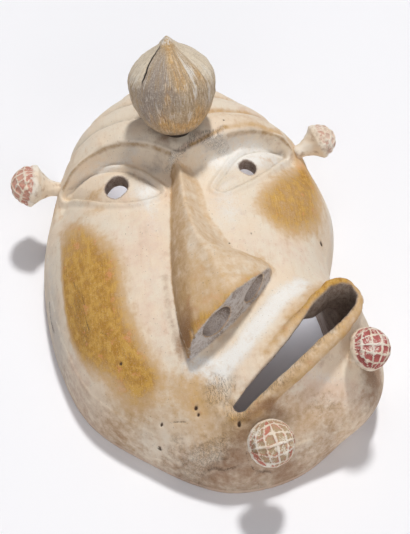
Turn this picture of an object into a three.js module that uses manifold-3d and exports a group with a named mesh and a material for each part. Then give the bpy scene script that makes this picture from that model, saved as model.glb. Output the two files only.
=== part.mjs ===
// A carved wooden mask that lies on its open back: crooked egg-shaped face, wedge nose,
// slanting open mouth, folded forehead with a bud-shaped knob, and four golf-tee studs.
// Millimetres, +Z out of the face, +Y towards the forehead, +X to the viewer's right.
import * as THREE from 'three';
import { ParametricGeometry } from 'three/addons/geometries/ParametricGeometry.js';
import { mergeVertices } from 'three/addons/utils/BufferGeometryUtils.js';
import Module from 'manifold-3d';

const wasm = await Module();
wasm.setup();
const { Manifold } = wasm;
const degrees = Math.PI / 180;
const gap = 0.3;

// Face: a rounded dome over an egg-shaped rim. The rim radii are taken at sixteen
// even compass steps from +X, turning towards the forehead.
const face = {
  centreX: 5,
  centreY: -8,
  height: 100,
  roundness: 2.5,
  rimRadii: [101, 121, 136, 157, 186, 163, 133, 119.5, 112.5, 115.5, 127, 136, 155, 159, 141, 113],
  reliefFrom: 0.1,
  reliefFull: 0.55,
  spokes: 76,
  innerRings: 10,
  foreheadRings: 9,
  wallRings: 5,
  wallShare: 0.35,
  reachLimits: { near: 10, far: 320 },
  halvings: 34,
};
// Hollow: the same dome and swellings, smaller by the thickness of the wood.
const hollow = {
  wall: 16,
  crownWall: 14,
  muzzleWall: 13,
  jawWall: 15,
  blend: 14,
  spokes: 40,
  rings: 10,
  drop: 3,
};

// Brow: two arches that meet at the nose root, and the ledge under them.
const brow = {
  left: { peakX: -55, peakY: 80, drop: 29, reach: 56, power: 2, outerFall: 1.5 },
  right: { peakX: 72, peakY: 81.5, drop: 30.5, reach: 71, power: 1.4 },
  centreX: 2,
  blend: 6,
  ledge: 15,
  ledgeFoot: -5.5,
  ledgeTop: 1,
  ledgeSpread: 16,
  fadeFrom: 30,
  fadeTo: 95,
  fade: 0.6,
};
// Eye sockets: shallow hollows under the ledge that run out towards the cheeks and temples.
const socket = { depth: 4.5, topFrom: 2, topTo: -6, footFrom: -16, footTo: -46, sideFrom: 84, sideTo: 104 };
// Forehead: rolls that run parallel to the brow and straighten towards the crown.
const folds = {
  firstCrease: 25,
  step: 21,
  count: 4,
  height: 5.4,
  roundness: 0.7,
  sink: 1.5,
  sinkOver: 4,
  levelY: 78,
  straighten: 38,
  firstAngle: 26,
  lastAngle: 160,
  angleBlend: 18,
};

// Jaw and muzzle: swellings that carry the slanting mouth.
const jaw = { centre: [81, -100, 32], axes: [46, 44, 41], turn: 17 * degrees, blend: 18 };
const muzzle = { centre: [56, -90, 50], axes: [66, 36, 48], turn: 39.5 * degrees, blend: 16 };
const funnel = { draft: 0.2, rimHeight: 97, depth: 80, topBlend: 6, joinBlend: 14, steepness: 0.95 };
// Crest: the top of the muzzle, rising along the mouth from its left corner in a part of a sine wave.
const crest = {
  from: [12, -140],
  along: [0.8, 0.6],
  length: 124,
  low: 72,
  rise: 34,
  waveStart: 0.03,
  waveLength: 1.55,
  waveEnd: 1.82,
  fallFrom: 0.75,
  fall: 14,
};

// Lip: centre line and roll radius, from the left corner round by the lower lip.
const lipLine = [
  [13, -142, 70, 4], [30, -139, 80, 5], [45, -132, 90, 6], [58, -125, 96, 6.5],
  [72, -115, 99, 6.5], [86, -104, 99, 6.5], [98, -93, 98, 5.5], [106, -83, 96, 4.5],
  [109, -73.5, 94, 3.7], [105, -65, 97, 3.5], [98.5, -62.5, 100, 3.5], [90.5, -65, 102, 3.6],
  [83, -71, 103, 3.8], [75, -79, 103.5, 4], [65, -88.5, 101, 4], [54, -98.5, 98, 4],
  [43, -107.5, 93, 4], [32, -116, 87, 4], [20, -126, 79, 4], [11, -136, 72, 4],
];
// Mouth opening: its edge seen from straight above.
const mouthEdge = [
  [11, -137], [22, -126], [32, -118], [42, -111], [53, -102], [65, -92], [75, -82], [82, -76],
  [91, -68], [99, -66], [105, -67], [108, -73], [105, -81], [97, -91], [86, -100], [75, -107],
  [66, -114], [56, -121], [47, -126], [39, -130], [30, -133], [19, -139],
];
// Bore of the mouth, and how far the wood is cut back behind its upper edge.
const mouth = { bottom: 45, height: 85, upperPoints: 8, edgeThickness: 5, back: 9, fall: 13 };
const lip = { alongSteps: 40, aroundSteps: 8 };

// Nose: stations down the face, each with its left edge, ridge and heights, and how round
// its left and right cheeks are (1 is flat, less is fuller).
const noseStations = [
  { y: 58, left: -5, ridge: -1, height: 107, footLeft: 95, footRight: 95, leftSwell: 0.8, rightSwell: 1.1 },
  { y: 44, left: -5, ridge: 0, height: 107, footLeft: 95, footRight: 95, leftSwell: 0.8, rightSwell: 1.15 },
  { y: 10, left: -11, ridge: -0.5, height: 114, footLeft: 98, footRight: 98, leftSwell: 0.7, rightSwell: 1.2 },
  { y: -22, left: -15, ridge: 3, height: 125, footLeft: 98, footRight: 98, leftSwell: 0.55, rightSwell: 1 },
  { y: -46, left: -17, ridge: 10, height: 130, footLeft: 96, footRight: 95, leftSwell: 0.44, rightSwell: 0.42 },
  { y: -67, left: -17, ridge: 17, height: 132.5, footLeft: 92, footRight: 94, leftSwell: 0.36, rightSwell: 0.36 },
  { y: -84, left: -16, ridge: 23, height: 133, footLeft: 88, footRight: 93, leftSwell: 0.31, rightSwell: 0.36 },
  { y: -99, left: -12.5, ridge: 26, height: 133, footLeft: 84, footRight: 92, leftSwell: 0.26, rightSwell: 0.6 },
  { y: -112, left: -9, ridge: 28, height: 133, footLeft: 80, footRight: 91, leftSwell: 0.26, rightSwell: 0.7 },
];
// Right edge of the nose, which flares into the wing.
const noseRightEdge = [
  { y: 58, right: 7 }, { y: 31, right: 13 }, { y: 5, right: 16 }, { y: -11, right: 23 }, { y: -24, right: 28 },
  { y: -29, right: 36 }, { y: -33, right: 44 }, { y: -37, right: 49 }, { y: -42, right: 52.5 },
  { y: -50, right: 54.5 }, { y: -112, right: 60 },
];
const nose = {
  sections: [67, 58, 44, 31, 18, 5, -11, -24, -29, -33, -37, -42, -50, -60, -72, -86, -99, -112],
  rootDrop: 3,
  outside: 1.6,
  ridgeBlend: 4,
  edgeCrowding: 1.8,
  skirt: 2,
  bottom: 70,
  endRise: 8,
  edgeRise: 4,
  topSteps: 16,
  underSteps: 3,
};
// Nostril wall: a bowed upright cut that ends the nose.
const nostrilWall = {
  start: [-11, -100],
  end: [53, -47],
  bow: 5,
  from: -0.35,
  to: 1.35,
  leastBow: -0.6,
  farCorners: [[160, -160], [-40, -190]],
  bottom: 50,
  height: 110,
  steps: 14,
};
const nostrils = [
  { centre: [9, -88.6, 108], axes: [12.3, 10, 13.5], turn: 34 * degrees },
  { centre: [38.5, -64.2, 106], axes: [11, 9, 10.5], turn: 45 * degrees },
];
const nostrilFacets = { around: 14, upward: 9 };
const eyeHoles = [
  { centre: [-46, 47], radii: [8.5, 10.5] },
  { centre: [51, 52], radii: [6.3, 7] },
];
const eyeBore = { middle: 90, length: 60, sides: 20 };
// The rim is cut away in a low arch behind the crown.
const crownArch = { centreX: 4, halfWidth: 78, height: 44, startY: 100, endY: 200, sides: 36 };

// Studs: a thin stalk that flares to a domed cap, pegged into the wood.
const studs = {
  stud_temple_left: { foot: [-88.9, 77.2, 53.1], aim: [-0.94, 0.08, 0.3], capRadius: 16.3, length: 36 },
  stud_temple_right: { foot: [96, 82, 60], aim: [0.93, 0.25, 0.26], capRadius: 14, length: 30 },
  stud_jaw_left: { foot: [32.2, -154, 51.9], aim: [0.15, -0.5, 0.85], capRadius: 17, length: 34 },
  stud_jaw_right: { foot: [101.4, -106, 73], aim: [0.5, -0.28, 0.82], capRadius: 15.8, length: 33 },
};
const stalk = { radius: 5.5, peg: 8, flarePower: 1.8, flareSteps: 5, capSteps: 5, sides: 18 };

// Knob: a pointed bud on a short peg; half widths along its length from foot to tip.
const knob = {
  foot: [2.6, 77.2, 113.2],
  aim: [-0.04, 0.4, 0.915],
  length: 73,
  pegRadius: 8,
  peg: 8,
  seatRadius: 20,
  clearAbovePeg: 10,
  clearAboveSeat: 30,
  sides: 24,
  outline: [
    [0, 16], [0.04, 18.5], [0.09, 21], [0.16, 24.5], [0.23, 27.3], [0.38, 31], [0.52, 31.9],
    [0.6, 31], [0.666, 29], [0.74, 24.2], [0.8, 18.5], [0.85, 13.2], [0.9, 8.8], [0.96, 4.2], [1, 1],
  ],
};

// Small number helpers.
const clamp = (value, low, high) => Math.min(Math.max(value, low), high);
const mix = (a, b, t) => a + (b - a) * t;
const smoothStep = (low, high, value) => {
  const t = clamp((value - low) / (high - low), 0, 1);
  return t * t * (3 - 2 * t);
};
const smoothMin = (a, b, width) => {
  const h = clamp(0.5 + (0.5 * (b - a)) / width, 0, 1);
  return b * (1 - h) + a * h - width * h * (1 - h);
};
const smoothMax = (a, b, width) => -smoothMin(-a, -b, width);

// Radius of the rim in a compass direction, by a closed Catmull-Rom curve.
function rimRadius(angle) {
  const radii = face.rimRadii;
  const count = radii.length;
  const turns = angle / (2 * Math.PI);
  const place = (turns - Math.floor(turns)) * count;
  const index = Math.floor(place) % count;
  const t = place - Math.floor(place);
  const [a, b, c, d] = [-1, 0, 1, 2].map((step) => radii[(index + step + count) % count]);
  const cubic = (3 * b - a - 3 * c + d) * t ** 3;
  return 0.5 * (2 * b + (c - a) * t + (2 * a - 5 * b + 4 * c - d) * t * t + cubic);
}

// The brow line, y for a given x.
function browY(x) {
  const { left, right } = brow;
  const outer = x < left.peakX ? left.outerFall : 1;
  const leftReach = Math.min(Math.abs(x - left.peakX) / left.reach, 3);
  const rightReach = Math.min(Math.abs(right.peakX - x) / right.reach, 3);
  const leftArch = left.peakY - left.drop * leftReach ** left.power * outer;
  const rightArch = right.peakY - right.drop * rightReach ** right.power;
  return smoothMax(leftArch, rightArch, brow.blend);
}

// Distance above the brow line, measured across it.
function browDistance(x, y) {
  const slope = Math.min((browY(x + 1) - browY(x - 1)) / 2, 1.2);
  return (y - browY(x)) / Math.sqrt(1 + slope * slope);
}

// Distance above the brow line straight up the face, levelling out towards the crown.
function foldDistance(x, y, above) {
  const keep = Math.exp(-Math.max(above, 0) / folds.straighten);
  return y - (browY(x) * keep + folds.levelY * (1 - keep));
}

// Height that the forehead, its folds and the eye sockets add to the dome.
function relief(x, y) {
  const above = browDistance(x, y);
  const up = foldDistance(x, y, above);
  const temple = smoothStep(socket.sideFrom - 6, socket.sideTo - 6, Math.abs(x - brow.centreX));
  const spread = brow.ledgeSpread * temple;
  let height = brow.ledge * smoothStep(brow.ledgeFoot - spread, brow.ledgeTop + spread, above);
  height *= 1 - brow.fade * smoothStep(brow.fadeFrom, brow.fadeTo, up);
  let start = 0;
  let roll = 0;
  for (let fold = 0; fold < folds.count; fold += 1) {
    const end = folds.firstCrease + folds.step * fold;
    const across = clamp((up - start) / (end - start), 0, 1);
    if (up >= start && up < end) roll = (4 * across * (1 - across)) ** folds.roundness;
    start = end;
  }
  height += (folds.height * roll - folds.sink) * smoothStep(0, folds.sinkOver, up);
  const under = smoothStep(socket.topFrom, socket.topTo, above);
  const overCheek = 1 - smoothStep(socket.footFrom, socket.footTo, above);
  const side = 1 - smoothStep(socket.sideFrom, socket.sideTo, Math.abs(x - brow.centreX));
  return height - socket.depth * under * overCheek * side;
}

// Signed distance, near the surface, to the dome.
function domeDistance([x, y, z], inset, height, withRelief) {
  const dx = x - face.centreX;
  const dy = y - face.centreY;
  const radius = rimRadius(Math.atan2(dy, dx)) - inset;
  const grown = smoothStep(face.reliefFrom * height, face.reliefFull * height, z);
  const raised = withRelief ? relief(x, y) * grown : 0;
  const across = Math.max(Math.hypot(dx, dy) / radius, 1e-4);
  const up = Math.max(z - raised, 0.01) / height;
  const n = face.roundness;
  const size = (across ** n + up ** n) ** (1 / n);
  const slope = Math.hypot(up ** (n - 1) / height, across ** (n - 1) / radius) / size ** (n - 1);
  return (size - 1) / Math.max(slope, 1e-4);
}

function ellipsoidDistance([x, y, z], { centre, axes, turn }, inset = 0) {
  const [a, b, c] = axes.map((axis) => axis - inset);
  const dx = x - centre[0];
  const dy = y - centre[1];
  const u = dx * Math.cos(turn) + dy * Math.sin(turn);
  const v = -dx * Math.sin(turn) + dy * Math.cos(turn);
  const w = z - centre[2];
  const near = Math.hypot(u / a, v / b, w / c);
  const steep = Math.hypot(u / a ** 2, v / b ** 2, w / c ** 2);
  return (near * (near - 1)) / Math.max(steep, 1e-6);
}

// Signed distance to a closed outline seen from above.
function outlineDistance(x, y, outline) {
  let nearest = Infinity;
  let sign = 1;
  for (let i = 0, j = outline.length - 1; i < outline.length; j = i, i += 1) {
    const [ax, ay] = outline[i];
    const [bx, by] = outline[j];
    const ex = bx - ax;
    const ey = by - ay;
    const wx = x - ax;
    const wy = y - ay;
    const t = clamp((wx * ex + wy * ey) / (ex * ex + ey * ey), 0, 1);
    nearest = Math.min(nearest, Math.hypot(wx - ex * t, wy - ey * t));
    const first = y >= ay;
    const second = y < by;
    const third = ex * wy > ey * wx;
    if ((first && second && third) || (!first && !second && !third)) sign = -sign;
  }
  return sign * nearest;
}

const lipCurve = new THREE.CatmullRomCurve3(
  lipLine.map(([x, y, z]) => new THREE.Vector3(x, y, z)),
  true,
  'catmullrom',
  0.5,
);
const lipOutline = Array.from({ length: 60 }, (_, i) => {
  const point = lipCurve.getPoint(i / 60);
  return [point.x, point.y];
});

// Height of the crest over a point.
function muzzleTop(x, y) {
  const across = (x - crest.from[0]) * crest.along[0] + (y - crest.from[1]) * crest.along[1];
  const t = across / crest.length;
  const swell = Math.sin(clamp(crest.waveLength * t + crest.waveStart, 0, crest.waveEnd));
  return crest.low + crest.rise * swell - crest.fall * clamp(t - crest.fallFrom, 0, 1);
}

function funnelDistance([x, y, z]) {
  const below = clamp(funnel.rimHeight - z, 0, funnel.depth);
  const side = outlineDistance(x, y, lipOutline) - below * funnel.draft;
  return smoothMax(side, z - muzzleTop(x, y), funnel.topBlend) * funnel.steepness;
}

function outerDistance(point) {
  let distance = domeDistance(point, 0, face.height, true);
  distance = smoothMin(distance, ellipsoidDistance(point, muzzle), muzzle.blend);
  distance = smoothMin(distance, funnelDistance(point), funnel.joinBlend);
  return smoothMin(distance, ellipsoidDistance(point, jaw), jaw.blend);
}

function innerDistance(point) {
  let distance = domeDistance(point, hollow.wall, face.height - hollow.crownWall, false);
  distance = smoothMin(distance, ellipsoidDistance(point, muzzle, hollow.muzzleWall), hollow.blend);
  return smoothMin(distance, ellipsoidDistance(point, jaw, hollow.jawWall), hollow.blend);
}

// Turns a closed geometry into a solid, whichever way its faces were wound.
function solidFrom(geometry) {
  const bare = geometry.clone();
  bare.deleteAttribute('normal');
  bare.deleteAttribute('uv');
  const merged = mergeVertices(bare, 1e-3);
  const position = merged.getAttribute('position');
  const source = merged.index.array;
  const corners = [];
  let volume = 0;
  const [a, b, c] = [new THREE.Vector3(), new THREE.Vector3(), new THREE.Vector3()];
  for (let i = 0; i < source.length; i += 3) {
    const [p, q, r] = [source[i], source[i + 1], source[i + 2]];
    if (p === q || q === r || r === p) continue;
    corners.push(p, q, r);
    a.fromBufferAttribute(position, p);
    b.fromBufferAttribute(position, q);
    c.fromBufferAttribute(position, r);
    volume += a.dot(b.cross(c));
  }
  if (volume < 0) {
    for (let i = 0; i < corners.length; i += 3) {
      [corners[i + 1], corners[i + 2]] = [corners[i + 2], corners[i + 1]];
    }
  }
  const mesh = new wasm.Mesh({
    numProp: 3,
    vertProperties: new Float32Array(position.array),
    triVerts: new Uint32Array(corners),
  });
  return new Manifold(mesh);
}

function geometryFrom(solid) {
  const mesh = solid.getMesh();
  const geometry = new THREE.BufferGeometry();
  geometry.setAttribute('position', new THREE.BufferAttribute(mesh.vertProperties, 3));
  geometry.setIndex(new THREE.BufferAttribute(mesh.triVerts, 1));
  const faceted = geometry.toNonIndexed();
  faceted.computeVertexNormals();
  return faceted;
}

// Distance from the floor point under the crown to the surface, along one direction.
function reach(distanceTo, direction) {
  let { near, far } = face.reachLimits;
  for (let step = 0; step < face.halvings; step += 1) {
    const middle = (near + far) / 2;
    const point = [
      face.centreX + direction.x * middle,
      face.centreY + direction.y * middle,
      direction.z * middle,
    ];
    if (distanceTo(point) < 0) near = middle;
    else far = middle;
  }
  return (near + far) / 2;
}

// A point of the skin: compass angle, and swing from the crown (0) to the rim (a quarter turn).
function skinPoint(distanceTo, angle, swing, target) {
  const across = Math.sin(swing) ** (2 / face.roundness);
  const up = Math.cos(swing) ** (2 / face.roundness);
  const radius = rimRadius(angle) * across;
  const x = radius * Math.cos(angle);
  const y = radius * Math.sin(angle);
  const grown = smoothStep(face.reliefFrom, face.reliefFull, up);
  const lift = relief(face.centreX + x, face.centreY + y) * grown;
  const direction = new THREE.Vector3(x, y, up < 1e-6 ? 0 : face.height * up + lift).normalize();
  target.copy(direction).multiplyScalar(reach(distanceTo, direction));
  target.x += face.centreX;
  target.y += face.centreY;
  return target;
}

// Swing at which a spoke crosses a line that lies a given way above the brow.
function swingAt(angle, level, measure) {
  let near = 0.05;
  let far = Math.PI / 2;
  for (let step = 0; step < face.halvings; step += 1) {
    const middle = (near + far) / 2;
    const radius = rimRadius(angle) * Math.sin(middle) ** (2 / face.roundness);
    const x = face.centreX + radius * Math.cos(angle);
    const y = face.centreY + radius * Math.sin(angle);
    if (measure(x, y) < level) near = middle;
    else far = middle;
  }
  return (near + far) / 2;
}

// Ring swings of one spoke, lined up with the brow ledge and the fold creases on the forehead.
function spokeRings(angle) {
  const quarter = Math.PI / 2;
  const total = face.innerRings + 2 + face.foreheadRings + face.wallRings;
  const { firstAngle, lastAngle, angleBlend } = folds;
  const entered = smoothStep(firstAngle, firstAngle + angleBlend, angle / degrees);
  const forehead = entered * (1 - smoothStep(lastAngle - angleBlend, lastAngle, angle / degrees));
  const upward = (x, y) => foldDistance(x, y, browDistance(x, y));
  const marks = [
    swingAt(angle, brow.ledgeFoot, browDistance),
    swingAt(angle, brow.ledgeTop, browDistance),
  ];
  for (let half = 1; half < face.foreheadRings; half += 1) {
    const step = half === 1 ? folds.firstCrease / 2 : folds.firstCrease + (folds.step * (half - 2)) / 2;
    marks.push(swingAt(angle, step, upward));
  }
  const rings = [];
  for (let ring = 0; ring <= total; ring += 1) {
    const even = (ring / total) * quarter;
    const mark = ring - face.innerRings;
    let lined;
    const past = mark - marks.length + 1;
    if (mark < 0) lined = (ring / face.innerRings) * marks[0];
    else if (past <= 0) lined = marks[mark];
    else lined = mix(marks.at(-1), quarter, past / (past + total - ring));
    const latest = quarter * (1 - (face.wallShare * (total - ring)) / total);
    rings.push(ring === total ? quarter : mix(even, Math.min(lined, latest), forehead));
  }
  return rings;
}

// Closed skin of the face, from the crown of the cheek over the rim to the floor.
function outerSkin() {
  const spokes = Array.from({ length: face.spokes }, (_, i) => spokeRings((i / face.spokes) * 2 * Math.PI));
  const rings = spokes[0].length;
  const surface = (u, v, target) => {
    const spoke = Math.round(u * face.spokes) % face.spokes;
    const ring = Math.round(v * rings);
    if (ring === rings) return target.set(face.centreX, face.centreY, 0);
    const angle = (spoke / face.spokes) * 2 * Math.PI;
    return skinPoint(outerDistance, ring === 0 ? 0 : angle, spokes[spoke][ring], target);
  };
  return solidFrom(new ParametricGeometry(surface, face.spokes, rings));
}

// Closed skin of the hollow, carried a little below the floor so that it opens the back.
function innerSkin() {
  const surface = (u, v, target) => {
    const angle = ((Math.round(u * hollow.spokes) % hollow.spokes) / hollow.spokes) * 2 * Math.PI;
    const ring = Math.round(v * (hollow.rings + 2));
    if (ring === hollow.rings + 2) return target.set(face.centreX, face.centreY, -hollow.drop);
    const swing = (Math.min(ring / hollow.rings, 1) * Math.PI) / 2;
    skinPoint(innerDistance, ring === 0 ? 0 : angle, swing, target);
    if (ring === hollow.rings + 1) target.z = -hollow.drop;
    return target;
  };
  return solidFrom(new ParametricGeometry(surface, hollow.spokes, hollow.rings + 2));
}

// Values between the two of the given stations that lie above and below y.
function valuesAt(y, stations) {
  const last = stations.length - 1;
  const below = stations.findIndex((station) => station.y <= y);
  const index = below < 0 ? last : Math.max(below, 1);
  const [upper, lower] = [stations[index - 1], stations[index]];
  const t = clamp((upper.y - y) / (upper.y - lower.y), 0, 1);
  const blend = (key) => mix(upper[key], lower[key], t);
  return Object.fromEntries(Object.keys(upper).map((key) => [key, blend(key)]));
}

const noseAt = (y) => ({ ...valuesAt(y, noseStations), ...valuesAt(y, noseRightEdge) });

function noseTop(x, y) {
  const { left, ridge, right, height, footLeft, footRight, leftSwell, rightSwell } = noseAt(y);
  const inLeft = (x - left) / (ridge - left);
  const inRight = (right - x) / (right - ridge);
  const riseLeft = inLeft > 0 ? inLeft ** leftSwell : inLeft * nose.outside;
  const riseRight = inRight > 0 ? inRight ** rightSwell : inRight * nose.outside;
  const leftFacet = footLeft + (height - footLeft) * riseLeft;
  const rightFacet = footRight + (height - footRight) * riseRight;
  return smoothMin(leftFacet, rightFacet, nose.ridgeBlend);
}

// Nose block: cross-sections from the root down past the nostril wall, closed at both ends.
function noseSolid() {
  const levels = nose.sections;
  const around = nose.topSteps + nose.underSteps;
  const surface = (u, v, target) => {
    const level = Math.round(v * (levels.length + 1)) - 1;
    const y = levels[clamp(level, 0, levels.length - 1)];
    const { left, ridge, right } = noseAt(y);
    if (level < 0 || level >= levels.length) return target.set(ridge, y, nose.bottom + nose.endRise);
    const step = Math.round(u * around) % around;
    const [from, to] = [left - nose.skirt, right + nose.skirt];
    if (step > nose.topSteps) {
      return target.set(mix(to, from, (step - nose.topSteps) / nose.underSteps), y, nose.bottom);
    }
    const half = nose.topSteps / 2;
    const inward = (1 - Math.abs(step - half) / half) ** nose.edgeCrowding;
    const x = mix(step < half ? from : to, ridge, inward);
    const drop = level === 0 ? nose.rootDrop : 0;
    return target.set(x, y, Math.max(noseTop(x, y) - drop, nose.bottom + nose.edgeRise));
  };
  return solidFrom(new ParametricGeometry(surface, around, levels.length + 1));
}

// Everything beyond the bowed nostril wall, as a tall block.
function beyondNostrilWall() {
  const { start, end, bow, from, to, leastBow, farCorners, bottom, height, steps } = nostrilWall;
  const length = Math.hypot(end[0] - start[0], end[1] - start[1]);
  const along = [(end[0] - start[0]) / length, (end[1] - start[1]) / length];
  const outline = new THREE.Shape();
  for (let i = 0; i <= steps; i += 1) {
    const s = mix(from, to, i / steps);
    const out = bow * clamp(1 - (2 * s - 1) ** 2, leastBow, 1);
    const x = start[0] + along[0] * length * s + along[1] * out;
    const y = start[1] + along[1] * length * s - along[0] * out;
    if (i === 0) outline.moveTo(x, y);
    else outline.lineTo(x, y);
  }
  farCorners.forEach(([x, y]) => outline.lineTo(x, y));
  const block = new THREE.ExtrudeGeometry(outline, { depth: height, bevelEnabled: false });
  return solidFrom(block.translate(0, 0, bottom));
}

// Lip roll: a closed tube whose radius changes along the loop.
function lipSolid() {
  const { alongSteps, aroundSteps } = lip;
  const surface = (u, v, target) => {
    const t = (Math.round(u * alongSteps) % alongSteps) / alongSteps;
    const turn = (Math.round(v * aroundSteps) % aroundSteps) / aroundSteps;
    const place = t * lipLine.length;
    const index = Math.floor(place);
    const next = lipLine[(index + 1) % lipLine.length];
    const radius = mix(lipLine[index][3], next[3], place - index);
    const forward = lipCurve.getTangent(t);
    const side = new THREE.Vector3().crossVectors(forward, new THREE.Vector3(0, 0, 1)).normalize();
    const up = new THREE.Vector3().crossVectors(side, forward);
    target.copy(lipCurve.getPoint(t));
    target.addScaledVector(side, radius * Math.cos(turn * 2 * Math.PI));
    return target.addScaledVector(up, radius * Math.sin(turn * 2 * Math.PI));
  };
  return solidFrom(new ParametricGeometry(surface, alongSteps, aroundSteps));
}

function mouthSolid() {
  const outline = new THREE.Shape(mouthEdge.map(([x, y]) => new THREE.Vector2(x, y)));
  const prism = new THREE.ExtrudeGeometry(outline, { depth: mouth.height, bevelEnabled: false });
  return solidFrom(prism.translate(0, 0, mouth.bottom));
}

// The wood behind the upper edge of the mouth is cut back, so that the edge is thin.
function mouthUndercut() {
  const { upperPoints, edgeThickness, back, fall, bottom } = mouth;
  const corners = [];
  mouthEdge.slice(0, upperPoints).forEach(([x, y]) => {
    const top = muzzleTop(x, y) - edgeThickness;
    corners.push([x, y, top], [x, y, bottom]);
    corners.push([x - crest.along[1] * back, y + crest.along[0] * back, top - fall]);
    corners.push([x - crest.along[1] * back, y + crest.along[0] * back, bottom]);
  });
  return Manifold.hull(corners);
}

function eyeHoleSolid({ centre, radii }) {
  const bore = new THREE.CylinderGeometry(1, 1, eyeBore.length, eyeBore.sides).rotateX(Math.PI / 2);
  return solidFrom(bore.scale(radii[0], radii[1], 1).translate(centre[0], centre[1], eyeBore.middle));
}

function ellipsoidSolid({ centre, axes, turn }) {
  const { around, upward } = nostrilFacets;
  const ball = new THREE.SphereGeometry(1, around, upward).rotateX(Math.PI / 2);
  return solidFrom(ball.scale(...axes).rotateZ(turn).translate(...centre));
}

function archSolid() {
  const { centreX, halfWidth, height, startY, endY, sides } = crownArch;
  const tunnel = new THREE.CylinderGeometry(1, 1, endY - startY, sides);
  tunnel.scale(halfWidth, 1, height);
  return solidFrom(tunnel.translate(centreX, (startY + endY) / 2, 0));
}

// Turn that carries +Y, the axis of a lathe, onto a direction.
const turnTo = (aim) =>
  new THREE.Quaternion().setFromUnitVectors(new THREE.Vector3(0, 1, 0), new THREE.Vector3(...aim).normalize());

// A bore along a direction, from a depth below a foot point to a height above it.
function boreSolid(foot, aim, radius, below, above, sides) {
  const bore = new THREE.CylinderGeometry(radius, radius, below + above, sides);
  bore.translate(0, (above - below) / 2, 0).applyQuaternion(turnTo(aim));
  return solidFrom(bore.translate(...foot));
}

function studGeometry({ capRadius, length }, clearance = 0) {
  const root = stalk.radius + clearance;
  const points = [[0, -stalk.peg - clearance], [root, -stalk.peg - clearance], [root, 0]];
  const neck = (length - capRadius * 1.05) * 0.95;
  for (let i = 1; i <= stalk.flareSteps; i += 1) {
    const t = i / stalk.flareSteps;
    points.push([root + (capRadius - stalk.radius) * t ** stalk.flarePower, neck * t]);
  }
  for (let i = 1; i <= stalk.capSteps; i += 1) {
    const turn = ((i / stalk.capSteps) * Math.PI) / 2;
    const across = i === stalk.capSteps ? 0 : (capRadius + clearance) * Math.cos(turn);
    points.push([across, neck + (length - neck + clearance) * Math.sin(turn)]);
  }
  return new THREE.LatheGeometry(points.map(([x, y]) => new THREE.Vector2(x, y)), stalk.sides);
}

function knobGeometry() {
  const points = [[0, -knob.peg], [knob.pegRadius, -knob.peg], [knob.pegRadius, 0]];
  knob.outline.forEach(([t, radius]) => points.push([radius, knob.length * t]));
  points.push([0, knob.length]);
  return new THREE.LatheGeometry(points.map(([x, y]) => new THREE.Vector2(x, y)), knob.sides);
}

function shellSolid() {
  const cutNose = noseSolid().subtract(beyondNostrilWall());
  let shell = outerSkin().add(cutNose).add(lipSolid());
  shell = shell.subtract(mouthSolid()).subtract(mouthUndercut());
  shell = shell.subtract(innerSkin()).subtract(archSolid());
  nostrils.forEach((hole) => {
    shell = shell.subtract(ellipsoidSolid(hole));
  });
  eyeHoles.forEach((hole) => {
    shell = shell.subtract(eyeHoleSolid(hole));
  });
  Object.values(studs).forEach((stud) => {
    const socket = studGeometry(stud, gap * 1.5).applyQuaternion(turnTo(stud.aim));
    shell = shell.subtract(solidFrom(socket.translate(...stud.foot)));
  });
  const { foot, aim, pegRadius, peg, seatRadius, sides, clearAbovePeg, clearAboveSeat } = knob;
  shell = shell.subtract(boreSolid(foot, aim, pegRadius + gap, peg + gap, clearAbovePeg, sides));
  shell = shell.subtract(boreSolid(foot, aim, seatRadius, gap, clearAboveSeat, sides));
  return shell.decompose().reduce((kept, body) => (body.volume() > kept.volume() ? body : kept));
}

const paints = {
  mask_shell: { color: 0xe0cdb5, roughness: 0.85, metalness: 0 },
  forehead_knob: { color: 0xb79a72, roughness: 0.85, metalness: 0 },
  stud: { color: 0xd9bfae, roughness: 0.8, metalness: 0 },
};

const mask = new THREE.Group();
function place(name, geometry, paint, foot = [0, 0, 0], aim = [0, 1, 0]) {
  const mesh = new THREE.Mesh(geometry, new THREE.MeshStandardMaterial(paint));
  mesh.name = name;
  mesh.position.set(...foot);
  mesh.quaternion.copy(turnTo(aim));
  mask.add(mesh);
}
place('mask_shell', geometryFrom(shellSolid()), paints.mask_shell);
place('forehead_knob', knobGeometry(), paints.forehead_knob, knob.foot, knob.aim);
Object.entries(studs).forEach(([name, stud]) => {
  place(name, studGeometry(stud), paints.stud, stud.foot, stud.aim);
});

// Centre the whole mask over its own footprint.
const footprint = new THREE.Box3().setFromObject(mask, true);
mask.position.x = -(footprint.min.x + footprint.max.x) / 2;
mask.position.y = -(footprint.min.y + footprint.max.y) / 2;
mask.position.z = -footprint.min.z;

export default mask;
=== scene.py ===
import math

import bpy
import numpy as np
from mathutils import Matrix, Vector


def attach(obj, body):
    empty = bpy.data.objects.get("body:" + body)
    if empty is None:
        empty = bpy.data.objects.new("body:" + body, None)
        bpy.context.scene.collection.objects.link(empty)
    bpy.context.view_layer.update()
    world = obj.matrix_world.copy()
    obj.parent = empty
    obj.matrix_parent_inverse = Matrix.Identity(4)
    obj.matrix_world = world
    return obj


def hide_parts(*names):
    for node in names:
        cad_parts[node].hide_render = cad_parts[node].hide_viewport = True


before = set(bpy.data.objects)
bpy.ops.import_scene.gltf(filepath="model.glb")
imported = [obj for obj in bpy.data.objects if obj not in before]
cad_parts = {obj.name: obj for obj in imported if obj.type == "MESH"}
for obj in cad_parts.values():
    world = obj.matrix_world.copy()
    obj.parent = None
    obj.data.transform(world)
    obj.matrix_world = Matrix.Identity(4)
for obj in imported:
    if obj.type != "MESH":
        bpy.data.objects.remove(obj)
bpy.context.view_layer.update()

toRow = np.array([-1.904, 4.415, 0.0])  # mm, from the carving's own frame to the row frame
metre = 0.001
veryFar = 1e9
outsideBox = 30.0  # mm, the distance that a part's field gives outside its box


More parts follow.
